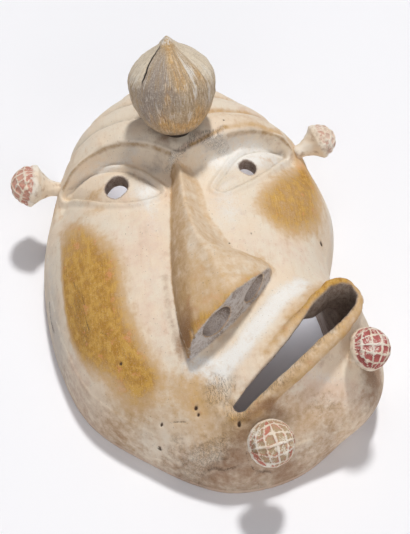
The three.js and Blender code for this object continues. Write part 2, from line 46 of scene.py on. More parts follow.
def smoothMin(a, b, width):
    mix = np.clip(0.5 + 0.5 * (b - a) / width, 0, 1)
    return b * (1 - mix) + a * mix - width * mix * (1 - mix)


def smoothMax(a, b, width):
    return -smoothMin(-a, -b, width)


def smoothStep(start, end, x):
    t = np.clip((x - start) / (end - start), 0, 1)
    return t * t * (3 - 2 * t)


def softRidge(x, middle, reach):
    # 1 at the middle, falling softly to 0 on both sides
    return np.exp(-(((x - middle) / reach) ** 2))


def softPatch(x, y, atX, atY, reachX, reachY):
    # 1 at its middle in the plan, falling softly to 0 all round
    return np.exp(-(((x - atX) / reachX) ** 2) - ((y - atY) / reachY) ** 2)


def loopCurve(points, steps):
    # a closed Catmull-Rom curve through the points
    points = np.array(points, float)
    t = np.linspace(0, 1, steps, endpoint=False)[:, None]
    parts = []
    for i in range(len(points)):
        a, b, c, d = points[i - 1], points[i], points[(i + 1) % len(points)], points[(i + 2) % len(points)]
        parts.append(
            0.5 * (2 * b + (c - a) * t + (2 * a - 5 * b + 4 * c - d) * t**2 + (3 * b - a - 3 * c + d) * t**3)
        )
    return np.concatenate(parts)


def ellipsoidGap(p, centre, axes, turn=0.0):
    q = p - np.array(centre, float)
    c, s = math.cos(turn), math.sin(turn)
    u = np.stack([q[:, 0] * c + q[:, 1] * s, q[:, 1] * c - q[:, 0] * s, q[:, 2]], -1)
    axes = np.array(axes, float)
    near = np.sqrt(((u / axes) ** 2).sum(-1))
    slope = np.sqrt(((u / axes**2) ** 2).sum(-1))
    return near * (near - 1) / np.maximum(slope, 1e-6)


def edgeGap(x, y, a, b):
    # squared distance in the plan to the straight edge from a to b
    edge = b - a
    px, py = x - a[0], y - a[1]
    t = np.clip((px * edge[0] + py * edge[1]) / (edge @ edge), 0, 1)
    return (px - edge[0] * t) ** 2 + (py - edge[1] * t) ** 2


def strokeGap(x, y, stroke):
    # distance to an open line in the plan
    stroke = np.array(stroke, float)
    gap = np.full(x.shape, veryFar)
    for a, b in zip(stroke[:-1], stroke[1:]):
        gap = np.minimum(gap, edgeGap(x, y, a, b))
    return np.sqrt(gap)


def outlineGap(x, y, outline):
    # distance to a closed outline in the plan, negative inside
    gap = np.full(x.shape, veryFar)
    sign = np.ones(x.shape)
    for a, b in zip(outline, np.roll(outline, 1, axis=0)):
        gap = np.minimum(gap, edgeGap(x, y, a, b))
        above, below = y >= a[1], y < b[1]
        left = (b[0] - a[0]) * (y - a[1]) > (b[1] - a[1]) * (x - a[0])
        sign = np.where((above & below & left) | (~above & ~below & ~left), -sign, sign)
    return sign * np.sqrt(gap)


def within(box, part, p):
    # a part's field, worked out only inside its box
    low, high = box
    inside = np.all((p > low) & (p < high), axis=-1)
    values = np.full(len(p), outsideBox)
    values[inside] = part(p[inside])
    return values


# The shell

mask = {
    "cell": 1.25,  # mm, the mesh's grid
    "gridLow": (-118.0, -180.0, -3.0),
    "gridExtent": (246, 352, 146),
    "triangles": 190000,
    "centre": (5.0, -8.0),
    "height": 100.0,
    "roundness": 2.5,
    "reliefOver": (0.1, 0.55),  # of the height, where the forehead's relief fades in
    "rimRadii": (101, 121, 136, 157, 186, 163, 133, 119.5, 112.5, 115.5, 127, 136, 155, 159, 141, 113),
    "wall": 16.0,
    "crownWall": 14.0,
    "muzzleWall": 13.0,
    "jawWall": 15.0,
    "inset": 0.15,  # keeps the round skin inside the flat-faced solid's box
    "lastMove": 0.3,  # mm, the most that a point moves when the thinned mesh settles again
    "carvedFrom": 40.0,  # mm over the rim, where the fine carving starts
    "arch": (4.0, 78.0, 44.0, 100.0),  # the gap behind the crown: middle, half width, height, start in y
}
joins = {  # mm, how softly each form runs into the ones before it
    "muzzle": 16.0,
    "funnel": 14.0,
    "jaw": 18.0,
    "nose": 3.5,
    "lip": 4.0,
    "nostrils": 2.0,
    "mouth": 2.5,
    "eyes": 0.8,
    "hollows": 14.0,
    "inner": 2.0,
    "arch": 3.0,
    "rim": 1.0,
}
browShape = {
    "leftPeak": (-55.0, 80.0, 29.0, 56.0, 2.0, 1.2),  # x, y, drop, reach, power, outer side's fall
    "rightPeak": (72.0, 84.0, 33.0, 71.0, 1.4, 1.0),
    "saddle": 6.0,  # mm, how softly the two arcs meet
    "steepest": 1.2,
    "fallEnd": 3,  # of the reach, past which an arc falls no more
    "centre": 2.0,
    "ledge": 15.0,
    "ledgeFoot": -5.5,
    "ledgeTop": 1.0,
    "temple": (78.0, 98.0),
    "templeSpread": 16.0,
    "fade": (30.0, 95.0, 0.6),
    "socketDepth": 4.5,
    "socketTop": (2.0, -6.0),  # mm from the brow's edge, where the eye hollow starts
    "socketFoot": (-16.0, -46.0),
    "socketSide": (84.0, 104.0),
    "roll": (1.6, 1.4, 0.9),  # along the brow's edge: mm above it, reach, height
    "rollFade": (96.0, 80.0),
}
foldShape = {
    "creases": (25.0, 46.0, 67.0, 88.0),
    "height": 5.4,
    "roundness": 0.7,
    "sink": 1.5,
    "sinkOver": 4.0,
    "levelY": 78.0,
    "straighten": 38.0,
}
noseShape = {
    "box": ((-60, -140, 65), (120, 100, 150)),
    "stations": (58, 44, 10, -22, -46, -67, -84, -99, -112),
    "ridgeX": (-1, 0, -0.5, 3, 10, 17, 23, 26, 28),
    "leftX": (-5, -5, -11, -15, -17, -17, -16, -12.5, -9),
    "ridgeZ": (107, 107, 114, 125, 130, 132.5, 133, 133, 133),
    "leftZ": (95, 95, 98, 98, 96, 92, 88, 84, 80),
    "rightZ": (95, 95, 98, 98, 95, 94, 93, 92, 91),
    "rightPower": (1.1, 1.15, 1.2, 1.0, 0.42, 0.36, 0.36, 0.6, 0.7),
    "rightEdgeY": (58, 31, 5, -11, -24, -29, -33, -37, -42, -50, -112),
    "rightEdgeX": (7, 13, 16, 23, 28, 36, 44, 49, 52.5, 54.5, 60),
    "leftPower": (0.8, 0.8, 0.7, 0.55, 0.44, 0.36, 0.31, 0.26, 0.26),
    "facetX": (-1, 0, -1, -2, -3, -4, -6, -8, -10),  # the edge of the browner left side
    "outside": 1.6,
    "ridgeWidth": 4.0,
    "skirt": 0.6,
    "edgeWidth": 1.4,
    "root": (68.0, 6.0),  # where the nose ends under the brow, and how softly
    "foot": 70.0,
    "nostrilWall": ((-11.0, -100.0), (53.0, -47.0), 5.0),  # its ends and how far it bulges
    "bulgeEnd": -0.6,
    "nostrilBox": ((-25, -125, 85), (65, -45, 130)),
    "hollows": (  # centre, axes, turn of each nostril
        ((9, -88.6, 108), (12.3, 10, 13.5), math.radians(34)),
        ((38.5, -64.2, 106), (11, 9, 10.5), math.radians(45)),
    ),
}
mouthShape = {
    "muzzle": ((56, -90, 50), (66, 36, 48), math.radians(39.5)),
    "jaw": ((81, -100, 32), (46, 44, 41), 0.3),
    "lipBox": ((-15, -165, 50), (130, -45, 120)),
    "lipLine": (
        (13, -142, 70, 4), (30, -139, 80, 5), (45, -132, 90, 6), (58, -125, 96, 6.5), (72, -115, 99, 6.5),
        (86, -104, 99, 6.5), (98, -93, 98, 5.5), (106, -83, 96, 4.5), (109, -73.5, 94, 3.7),
        (105, -65, 97, 3.5), (98.5, -62.5, 100, 3.5), (90.5, -65, 102, 3.6), (83, -71, 103, 3.8),
        (75, -79, 103.5, 4), (65, -88.5, 101, 4), (54, -98.5, 98, 4), (43, -107.5, 93, 4), (32, -116, 87, 4),
        (20, -126, 79, 4), (11, -136, 72, 4),
    ),
    "edge": (
        (11, -137), (22, -126), (32, -118), (42, -111), (53, -102), (65, -92), (75, -82), (82, -76),
        (91, -68), (99, -66), (105, -67), (108, -73), (105, -81), (97, -91), (86, -100), (75, -107),
        (66, -114), (56, -121), (47, -126), (39, -130), (30, -133), (19, -139),
    ),
    "slopeFrom": (12.0, -140.0),
    "slopeAlong": (0.8, 0.6),
    "slopeLength": 124.0,
    "edgeFoot": 72.0,
    "edgeRise": 34.0,
    "edgeArc": (1.15, 0.02, 1.35),  # stretch, start and end of the arc that the edge rises along
    "edgeFall": (14.0, 0.75),  # how far it falls again, and from where along the slope
    "funnelBox": ((-30, -180, 0), (150, -25, 145)),
    "funnelTop": 97.0,
    "funnelDepth": 80.0,
    "funnelFlare": 0.2,
    "funnelSlant": 0.95,
    "funnelRound": 6.0,
    "openingBox": ((-15, -165, 40), (130, -45, 150)),
    "openingFoot": 45.0,
    "upperBlend": 4.0,  # mm on each side of the slope's line, over which lower turns to upper edge
    "undercutEnds": (80.0, 54.0),
    "undercut": (4.0, 0.75, 20.0, 2.5),  # mm over the edge, slant, most, and how far the edge stands in
    "flare": (92.0, 0.12, 4.0),  # top, slant and most of the lower wall's flare
}
eyes = {
    "left": {
        "lid": ((-84, 67), (-74, 72), (-63, 74), (-49, 69), (-38, 63), (-28, 54), (-21, 45), (-15, 35)),
        "under": ((-24, 30), (-33, 29), (-45, 32), (-58, 39), (-68, 50), (-77, 61)),
    },
    "right": {
        "lid": ((84, 78), (75, 78), (64, 75), (52, 69), (43, 60), (33, 45), (25, 33)),
        "under": ((29, 28), (38, 31), (50, 38), (64, 50), (72, 60), (79, 70)),
    },
    "holes": ((-46, 47.5, 8.5, 11.5, 9.5), (51, 52, 6.3, 8.4, 7.2)),  # x, y, half width, half height, mean
    "holeFoot": 60.0,
    "rings": ((0, 1.2, -1.2), (3.4, 1.9, 1.7), (7.2, 1.6, -0.5)),  # line, fold, crease: mm out, reach, height
    "bulge": 2.2,
    "bulgeOver": -7.0,
}
for side in ("left", "right"):
    eyes[side]["ring"] = loopCurve(eyes[side]["lid"] + eyes[side]["under"], steps=4)
lipRing = loopCurve(mouthShape["lipLine"], steps=3)
mouthRing = np.array(mouthShape["edge"], float)
rimTable = loopCurve(np.array(mask["rimRadii"])[:, None], steps=24)[:, 0]
rimTable = np.append(rimTable, rimTable[0])
rimAngles = np.linspace(0, 2 * math.pi, len(rimTable))


def browHeight(x):
    # two arcs that meet over the nose
    arcs = []
    for name, outward in (("leftPeak", -1), ("rightPeak", 1)):
        atX, atY, drop, reach, power, outerFall = browShape[name]
        fall = drop * np.clip(np.abs(x - atX) / reach, 0, browShape["fallEnd"]) ** power
        arcs.append(atY - fall * np.where((x - atX) * outward > 0, outerFall, 1))
    return smoothMax(*arcs, browShape["saddle"])


def browGap(x, y):
    # distance in the plan above the brow's edge, negative in the eye hollows
    slope = np.minimum((browHeight(x + 1) - browHeight(x - 1)) / 2, browShape["steepest"])
    return (y - browHeight(x)) / np.sqrt(1 + slope**2)


def foldRise(x, y):
    # distance up the forehead, along which the folds follow each other
    mix = np.exp(-np.clip(browGap(x, y), 0, None) / foldShape["straighten"])
    return y - (browHeight(x) * mix + foldShape["levelY"] * (1 - mix))


def relief(x, y):
    # how far the forehead stands out over the plain dome, and the eye hollows below it
    gap = browGap(x, y)
    aside = np.abs(x - browShape["centre"])
    up = foldRise(x, y)
    spread = browShape["templeSpread"] * smoothStep(*browShape["temple"], aside)
    fadeFrom, fadeTo, fade = browShape["fade"]
    step = smoothStep(browShape["ledgeFoot"] - spread, browShape["ledgeTop"] + spread, gap)
    stand = browShape["ledge"] * step * (1 - fade * smoothStep(fadeFrom, fadeTo, up))
    roll = np.zeros_like(x)
    before = 0.0
    for crease in foldShape["creases"]:
        t = np.clip((up - before) / (crease - before), 0, 1)
        roll += np.where((up >= before) & (up < crease), (4 * t * (1 - t)) ** foldShape["roundness"], 0)
        before = crease
    stand += (foldShape["height"] * roll - foldShape["sink"]) * smoothStep(0, foldShape["sinkOver"], up)
    hollow = smoothStep(*browShape["socketTop"], gap) * (1 - smoothStep(*browShape["socketFoot"], gap))
    hollow = hollow * (1 - smoothStep(*browShape["socketSide"], aside))
    return stand - browShape["socketDepth"] * hollow


def domeGap(p, inset, height, carved):
    x, y = p[:, 0] - mask["centre"][0], p[:, 1] - mask["centre"][1]
    radius = np.interp(np.arctan2(y, x) % (2 * math.pi), rimAngles, rimTable) - inset
    z = p[:, 2]
    if carved:
        fadeFrom, fadeTo = mask["reliefOver"]
        z = z - relief(p[:, 0], p[:, 1]) * smoothStep(fadeFrom * height, fadeTo * height, z)
    n = mask["roundness"]
    out = np.maximum(np.hypot(x, y) / radius, 1e-4)
    up = np.maximum(z, 0.01) / height
    level = (out**n + up**n) ** (1 / n)
    slope = np.hypot(up ** (n - 1) / height, out ** (n - 1) / radius) / np.maximum(level, 1e-4) ** (n - 1)
    return (level - 1) / np.maximum(slope, 1e-4)


def noseLine(y, values, stations=noseShape["stations"]):
    return np.interp(-y, -np.array(stations, float), values)


def noseTop(x, y):
    ridgeX, leftX = noseLine(y, noseShape["ridgeX"]), noseLine(y, noseShape["leftX"])
    rightX = noseLine(y, noseShape["rightEdgeX"], noseShape["rightEdgeY"])
    ridgeZ = noseLine(y, noseShape["ridgeZ"])
    left = (x - leftX) / (ridgeX - leftX)
    right = (rightX - x) / (rightX - ridgeX)
    sides = []
    for name, share in (("left", left), ("right", right)):
        footZ, power = noseLine(y, noseShape[name + "Z"]), noseLine(y, noseShape[name + "Power"])
        up = np.where(share > 0, np.abs(share) ** power, share * noseShape["outside"])
        sides.append(footZ + (ridgeZ - footZ) * up)
    return smoothMin(*sides, noseShape["ridgeWidth"])


def nostrilWallGap(x, y):
    start, end, bulge = noseShape["nostrilWall"]
    along = np.array(end) - np.array(start)
    length = np.hypot(*along)
    along = along / length
    t = ((x - start[0]) * along[0] + (y - start[1]) * along[1]) / length
    across = (x - start[0]) * along[1] - (y - start[1]) * along[0]
    return across - bulge * np.clip(1 - (2 * t - 1) ** 2, noseShape["bulgeEnd"], 1)


def noseGap(p):
    x, y, z = p.T
    rootY, rootWidth = noseShape["root"]
    gap = smoothMax((z - noseTop(x, y)) * noseShape["skirt"], nostrilWallGap(x, y), noseShape["edgeWidth"])
    gap = smoothMax(gap, y - rootY, rootWidth)
    return np.maximum(gap, noseShape["foot"] - z)


def nostrilGap(p):
    large, small = noseShape["hollows"]
    return np.minimum(ellipsoidGap(p, *large), ellipsoidGap(p, *small))


def lipGap(p):
    gap = np.full(len(p), veryFar)
    for a, b in zip(lipRing, np.roll(lipRing, -1, axis=0)):
        edge, q = b[:3] - a[:3], p - a[:3]
        t = np.clip((q @ edge) / (edge @ edge), 0, 1)
        away = q - t[:, None] * edge
        gap = np.minimum(gap, np.sqrt((away * away).sum(-1)) - a[3] - (b[3] - a[3]) * t)
    return gap


def mouthTop(x, y):
    # height of the mouth's edge, which rises in an arc along its slope and falls a little at the end
    start, along = mouthShape["slopeFrom"], mouthShape["slopeAlong"]
    t = ((x - start[0]) * along[0] + (y - start[1]) * along[1]) / mouthShape["slopeLength"]
    stretch, arcStart, arcEnd = mouthShape["edgeArc"]
    arc = np.sin(np.clip(stretch * t + arcStart, 0, arcEnd) * arcEnd)
    fall, fallFrom = mouthShape["edgeFall"]
    return mouthShape["edgeFoot"] + mouthShape["edgeRise"] * arc - fall * np.clip(t - fallFrom, 0, 1)


def overSlope(x, y):
    # distance in the plan over the slanting line that the mouth follows
    start, along = mouthShape["slopeFrom"], mouthShape["slopeAlong"]
    return (y - start[1]) * along[0] - (x - start[0]) * along[1]


def funnelGap(p):
    # the flaring wall between the face and the lip
    x, y, z = p.T
    flare = np.clip(mouthShape["funnelTop"] - z, 0, mouthShape["funnelDepth"]) * mouthShape["funnelFlare"]
    side = outlineGap(x, y, lipRing[:, :2]) - flare
    slant = mouthShape["funnelSlant"]
    return smoothMax(side * slant, (z - mouthTop(x, y)) * slant, mouthShape["funnelRound"])


def mouthGap(p):
    # the opening, cut away under its upper edge
    x, y, z = p.T
    blend = mouthShape["upperBlend"]
    upper = smoothStep(-blend, blend, overSlope(x, y))
    upper = upper * smoothStep(*mouthShape["undercutEnds"], x)
    flareTop, flareSlant, flareMost = mouthShape["flare"]
    flare = np.clip((flareTop - z) * flareSlant, 0, flareMost)
    over, slant, most, standIn = mouthShape["undercut"]
    undercut = np.clip((mouthTop(x, y) + over - z) * slant, 0, most) - standIn
    gap = outlineGap(x, y, mouthRing) - flare * (1 - upper) - undercut * upper
    return np.maximum(gap, mouthShape["openingFoot"] - z)


def eyeHoleGap(p):
    holes = [
        np.hypot((p[:, 0] - atX) / halfWidth, (p[:, 1] - atY) / halfHeight) * mean - mean
        for atX, atY, halfWidth, halfHeight, mean in eyes["holes"]
    ]
    return np.maximum(np.minimum(*holes), eyes["holeFoot"] - p[:, 2])


def skinGap(p):
    gap = domeGap(p, 0.0, mask["height"], True)
    gap = smoothMin(gap, ellipsoidGap(p, *mouthShape["muzzle"]), joins["muzzle"])
    gap = smoothMin(gap, within(mouthShape["funnelBox"], funnelGap, p), joins["funnel"])
    gap = smoothMin(gap, ellipsoidGap(p, *mouthShape["jaw"]), joins["jaw"])
    gap = smoothMin(gap, within(noseShape["box"], noseGap, p), joins["nose"])
    return smoothMin(gap, within(mouthShape["lipBox"], lipGap, p), joins["lip"])


def hollowGap(p):
    gap = domeGap(p, mask["wall"], mask["height"] - mask["crownWall"], False)
    for name in ("muzzle", "jaw"):
        centre, axes, turn = mouthShape[name]
        inner = ellipsoidGap(p, centre, np.array(axes) - mask[name + "Wall"], turn)
        gap = smoothMin(gap, inner, joins["hollows"])
    return gap


def maskGap(p):
    gap = skinGap(p) + mask["inset"]
    front = p[:, 2] > mask["carvedFrom"]
    gap[front] = gap[front] - carving(p[front, 0], p[front, 1])
    gap = smoothMax(gap, -within(noseShape["nostrilBox"], nostrilGap, p), joins["nostrils"])
    gap = smoothMax(gap, -within(mouthShape["openingBox"], mouthGap, p), joins["mouth"])
    gap = smoothMax(gap, -eyeHoleGap(p), joins["eyes"])
    gap = smoothMax(gap, -hollowGap(p), joins["inner"])
    middle, halfWidth, height, start = mask["arch"]
    arch = (np.hypot((p[:, 0] - middle) / halfWidth, p[:, 2] / height) - 1) * height
    gap = smoothMax(gap, -np.maximum(arch, start - p[:, 1]), joins["arch"])
    return smoothMax(gap, -p[:, 2], joins["rim"])


# Carved lines and marks on the face

gouge = {
    "ripples": ((0.35, 17, 1), (0.25, 9, 2)),  # height in mm, size and seed of the marks all over
    "waves": 5,  # added up in each set of marks
    "waveSpread": (0.7, 1.5),  # shortest and longest, of the set's size
    "lastPhase": 6.3,
    "sink": 0.5,
    "eyeBox": (95, 15, 90),  # half width, foot and top of the band that holds the eyes
    "roughChin": ((-138, -150), (40, 10), -8),  # fade in y, fade aside, middle
    "roughCorner": ((14, 4), 14, -141, 1.4, 0.5),  # fade, x, y, how narrow, strength
    "roughHeight": (0.7, 3.6, 3),  # height, size and seed
    "lipBand": (9, 5),
    "lipHeight": 0.55,
    "lipRipples": ((1.0, 8, 4), (0.5, 3.5, 5)),
    "crest": (-2, 54, 7, 2.5),  # the small bump at the nose's root
    "crestHeight": 1.2,
    "pitEdge": 1.5,
    "cutDepth": 0.45,
    "cutReach": 0.7,
    "noCut": 20.0,
}
pits = (  # x, y, radius, depth
    (-12, -129, 1.2, 2.0), (-11, -133, 1.0, 1.6), (-36, -129, 0.9, 1.2), (-39, -137, 1.0, 1.4),
    (44, -11, 0.8, 1.0), (27, -19, 0.7, 0.9), (99, 2, 1.1, 1.5), (38, 85, 0.8, 1.0), (-59, -89, 1.0, 1.6),
    (15, -147, 1.2, 1.6),
)
cuts = (  # short cracks and scratches in the wood
    ((-85, -17), (-84, -24)), ((-83, -22), (-82, -30)), ((-82, -27), (-80, -35)), ((-80, -33), (-79, -40)),
    ((-80, -44), (-79, -53), (-78, -58)), ((-71, -64), (-66, -68)), ((-69, -68), (-66, -71)),
    ((-104, -8), (-105, -20), (-103, -34)), ((0, -160), (8, -161), (16, -161)),
    ((-14, -156), (-4, -158), (3, -160)), ((18, -154), (20, -160), (27, -165)), ((24, -163), (36, -163)),
    ((-28, -131), (-20, -134)),
)


def cutGap(x, y):
    gap = np.full(x.shape, gouge["noCut"])
    for cut in cuts:
        gap = np.minimum(gap, strokeGap(x, y, cut))
    return gap


def wave(x, y, size, seed):
    # slow uneven ripples between -1 and 1, like the marks of a gouge
    random = np.random.default_rng(seed)
    total = np.zeros_like(x)
    for _ in range(gouge["waves"]):
        angle, phase = random.uniform(0, math.pi), random.uniform(0, gouge["lastPhase"])
        length = size * random.uniform(*gouge["waveSpread"])
        total += np.sin((x * math.cos(angle) + y * math.sin(angle)) * 2 * math.pi / length + phase)
    return total / gouge["waves"]


def ripples(x, y, settings):
    # waves added up, from the height, size and seed of each
    return sum(height * wave(x, y, size, seed) for height, size, seed in settings)


def eyeGap(x, y):
    # distance to the nearer eye's outline, negative inside
    return np.minimum(*(outlineGap(x, y, eyes[side]["ring"]) for side in ("left", "right")))


def eyeCarving(x, y):
    # the cut line, the lid's fold, its crease and the ball, then the roll along the brow's edge
    gap = eyeGap(x, y)
    line, fold, crease = (rise * softRidge(gap, out, reach) for out, reach, rise in eyes["rings"])
    ball = eyes["bulge"] * smoothStep(0, eyes["bulgeOver"], gap)
    above, reach, rise = browShape["roll"]
    roll = rise * softRidge(browGap(x, y), above, reach) * smoothStep(*browShape["rollFade"], np.abs(x))
    return line + ball + fold + crease, roll


def carving(x, y):
    # height added to the face, mm
    height = ripples(x, y, gouge["ripples"]) - gouge["sink"]
    halfWidth, foot, top = gouge["eyeBox"]
    near = (np.abs(x) < halfWidth) & (y > foot) & (y < top)
    if near.any():
        for added in eyeCarving(x[near], y[near]):
            height[near] += added
    for atX, atY, radius, depth in pits:
        height -= depth * np.exp(-(((x - atX) ** 2 + (y - atY) ** 2) / radius**2) ** gouge["pitEdge"])
    fadeDown, fadeAside, middle = gouge["roughChin"]
    rough = smoothStep(*fadeDown, y) * smoothStep(*fadeAside, np.abs(x - middle))
    fadeOut, atX, atY, narrow, strength = gouge["roughCorner"]
    rough += strength * smoothStep(*fadeOut, np.hypot(x - atX, (y - atY) * narrow))
    rise, size, seed = gouge["roughHeight"]
    height += rise * rough * wave(x, y, size, seed)
    lip = smoothStep(*gouge["lipBand"], np.abs(outlineGap(x, y, mouthRing)))
    height += gouge["lipHeight"] * lip * ripples(x, y, gouge["lipRipples"])
    height += gouge["crestHeight"] * softPatch(x, y, *gouge["crest"])
    return height - gouge["cutDepth"] * softRidge(cutGap(x, y), 0, gouge["cutReach"])


# From field to mesh

blockSide = 8  # grid points along each side of a block
blockReach = 1.6  # of its side: the surface can't reach a block whose middle is farther off
blocksAtOnce = 500
leastSlope = 0.05


def sampleField(field, low, blocks, cell):
    # the field on a grid; a block that the surface can't reach keeps the value at its middle
    side = blockSide
    steps = np.stack(np.meshgrid(*[np.arange(side)] * 3, indexing="ij"), -1).reshape(-1, 3) * cell
    corners = np.stack(np.meshgrid(*[np.arange(n) for n in blocks], indexing="ij"), -1).reshape(-1, 3)
    corners = low + corners * (side * cell)
    middle = field(corners + (side - 1) / 2 * cell)
    values = np.repeat(middle[:, None], side**3, axis=1)
    near = np.flatnonzero(np.abs(middle) < blockReach * side * cell)
    for start in range(0, len(near), blocksAtOnce):
        some = near[start : start + blocksAtOnce]
        values[some] = field((corners[some][:, None] + steps).reshape(-1, 3)).reshape(len(some), -1)
    values = values.reshape(*blocks, side, side, side).transpose(0, 3, 1, 4, 2, 5)
    return values.reshape([n * side for n in blocks])


def netPoints(values, cells, low, cell):
    # the mean of the places where the surface cuts each cell's edges
    total = np.zeros((len(cells), 3))
    crossings = np.zeros(len(cells))
    for axis in range(3):
        others = [k for k in range(3) if k != axis]
        for side in np.ndindex(2, 2):
            start = np.zeros(3, int)
            start[others] = side
            end = start.copy()
            end[axis] = 1
            a, b = (values[tuple((cells + corner).T)] for corner in (start, end))
            cut = (a < 0) != (b < 0)
            spot = np.tile(start.astype(float), (len(cells), 1))
            spot[:, axis] = np.where(cut, a / np.where(cut, a - b, 1), 0)
            total += spot * cut[:, None]
            crossings += cut
    return (cells + total / crossings[:, None]) * cell + low


def surfaceNet(values, low, cell):
    # one point in each cell that the surface passes, joined into quads round the grid's cut edges
    inside = values < 0
    last = np.array(values.shape) - 1
    count = np.zeros(last, int)
    for a, b, c in np.ndindex(2, 2, 2):
        count += inside[a : last[0] + a, b : last[1] + b, c : last[2] + c]
    passed = (count > 0) & (count < 8)
    cells = np.argwhere(passed)
    number = np.full(passed.shape, -1)
    number[passed] = np.arange(len(cells))
    faces = []
    for axis in range(3):
        u, w = (axis + 1) % 3, (axis + 2) % 3
        edges = np.argwhere(np.diff(inside, axis=axis))
        inner = (edges[:, u] > 0) & (edges[:, w] > 0) & (edges[:, u] < last[u]) & (edges[:, w] < last[w])
        edges = edges[inner]
        quad = []
        for du, dw in ((0, 0), (1, 0), (1, 1), (0, 1)):
            around = edges.copy()
            around[:, u] -= du
            around[:, w] -= dw
            quad.append(number[tuple(around.T)])
        quad = np.stack(quad, 1)
        flip = ~inside[tuple(edges.T)]
        quad[flip] = quad[flip][:, ::-1]
        faces.append(quad)
    return netPoints(values, cells, low, cell), np.concatenate(faces)


def settle(field, points, step=0.2, limit=0.8):
    # moves the points onto the surface
    here = field(points)
    slope = np.stack([(field(points + step * axis) - here) / step for axis in np.eye(3)], -1)
    move = here[:, None] * slope / np.maximum((slope**2).sum(-1), leastSlope)[:, None]
    return points - np.clip(move, -limit, limit)


def makeMesh(name, points, faces):
    mesh = bpy.data.meshes.new(name)
    mesh.from_pydata(np.asarray(points).tolist(), [], faces if isinstance(faces, list) else faces.tolist())
    mesh.validate()
    mesh.shade_smooth()
    return mesh


def addObject(name, data):
    made = bpy.data.objects.new(name, data)
    bpy.context.collection.objects.link(made)
    return made


def applied(mesh, kind, settings, inputs=None):
    # the mesh after one modifier; inputs are those of its node tree, by socket identifier
    carrier = addObject("carrier", mesh)
    modifier = carrier.modifiers.new(kind.lower(), kind)
    for key, value in settings.items():
        setattr(modifier, key, value)
    for key, value in (inputs or {}).items():
        modifier[key] = value
    shown = carrier.evaluated_get(bpy.context.evaluated_depsgraph_get())
    made = bpy.data.meshes.new_from_object(shown)
    bpy.data.objects.remove(carrier)
    return made


def meshPoints(mesh):
    flat = np.empty(len(mesh.vertices) * 3, np.float32)
    mesh.vertices.foreach_get("co", flat)
    return flat.reshape(-1, 3).astype(float)


def storeNumber(mesh, name, values):
    layer = mesh.attributes.new(name, "FLOAT", "POINT")
    layer.data.foreach_set("value", np.asarray(values, np.float32))


def addPiece(name, mesh, node, material):
    points = (meshPoints(mesh) + toRow) * metre
    mesh.vertices.foreach_set("co", points.astype(np.float32).ravel())
    mesh.update()
    mesh.materials.clear()
    mesh.materials.append(material)
    piece = addObject(name, mesh)
    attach(piece, "root")
    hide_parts(node)
    return piece


# Node trees


class Wire:
    # an output socket of a node tree, with arithmetic
    def __init__(self, tree, socket=None):
        self.tree = tree
        self.socket = socket

    def node(self, kind, settings=None, inputs=None, output=0):
        # one more node: its settings first, then the values or links of its sockets
        made = self.tree.nodes.new(kind)
        for key, value in (settings or {}).items():
            setattr(made, key, value)
        for key, value in (inputs or {}).items():
            if isinstance(value, Wire):
                self.tree.links.new(value.socket, made.inputs[key])
            else:
                made.inputs[key].default_value = value
        return Wire(self.tree, made.outputs[output])

    def maths(self, operation, *values):
        return self.node("ShaderNodeMath", {"operation": operation}, dict(enumerate(values)))

    def vectors(self, operation, *values, output=0):
        return self.node("ShaderNodeVectorMath", {"operation": operation}, dict(enumerate(values)), output)

    def __add__(self, other):
        return self.maths("ADD", self, other)

    def __radd__(self, other):
        return self.maths("ADD", other, self)

    def __sub__(self, other):
        return self.maths("SUBTRACT", self, other)

    def __rsub__(self, other):
        return self.maths("SUBTRACT", other, self)

    def __mul__(self, other):
        return self.maths("MULTIPLY", self, other)

    def __rmul__(self, other):
        return self.maths("MULTIPLY", other, self)

    def __truediv__(self, other):
        return self.maths("DIVIDE", self, other)

    def __abs__(self):
        return self.maths("ABSOLUTE", self)

    def smooth(self, start, end):
        # 0 at start and 1 at end
        values = {"Value": self, "From Min": start, "From Max": end}
        return self.node("ShaderNodeMapRange", {"interpolation_type": "SMOOTHSTEP"}, values)

    def clipped(self):
        return self.node("ShaderNodeClamp", {}, {0: self})

    def blend(self, first, second):
        # from the first colour to the second as this goes from 0 to 1
        first, second = (c if isinstance(c, Wire) else (*c, 1) for c in (first, second))
        return self.node("ShaderNodeMix", {"data_type": "RGBA"}, {0: self, 6: first, 7: second}, 2)

    def noise(self, scale, detail=3.0, rough=0.55):
        values = {"Vector": self, "Scale": scale, "Detail": detail, "Roughness": rough}
        return self.node("ShaderNodeTexNoise", {}, values)

    def stretched(self, x, y, z):
        return self.vectors("MULTIPLY", self, (x, y, z))

    def stored(self, name, output="Fac"):
        return self.node("ShaderNodeAttribute", {"attribute_name": name}, {}, output)


def newMaterial(name, specular=0.3):
    material = bpy.data.materials.new(name)
    material.use_nodes = True
    shader = material.node_tree.nodes["Principled BSDF"]
    shader.inputs["Specular IOR Level"].default_value = specular
    return material, Wire(material.node_tree), shader


def finishMaterial(wire, shader, colour, roughness, height, strength, depth):
    bump = wire.node("ShaderNodeBump", {}, {"Height": height, "Strength": strength, "Distance": depth})
    for key, value in (("Base Color", colour), ("Roughness", roughness), ("Normal", bump)):
        wire.tree.links.new(value.socket, shader.inputs[key])
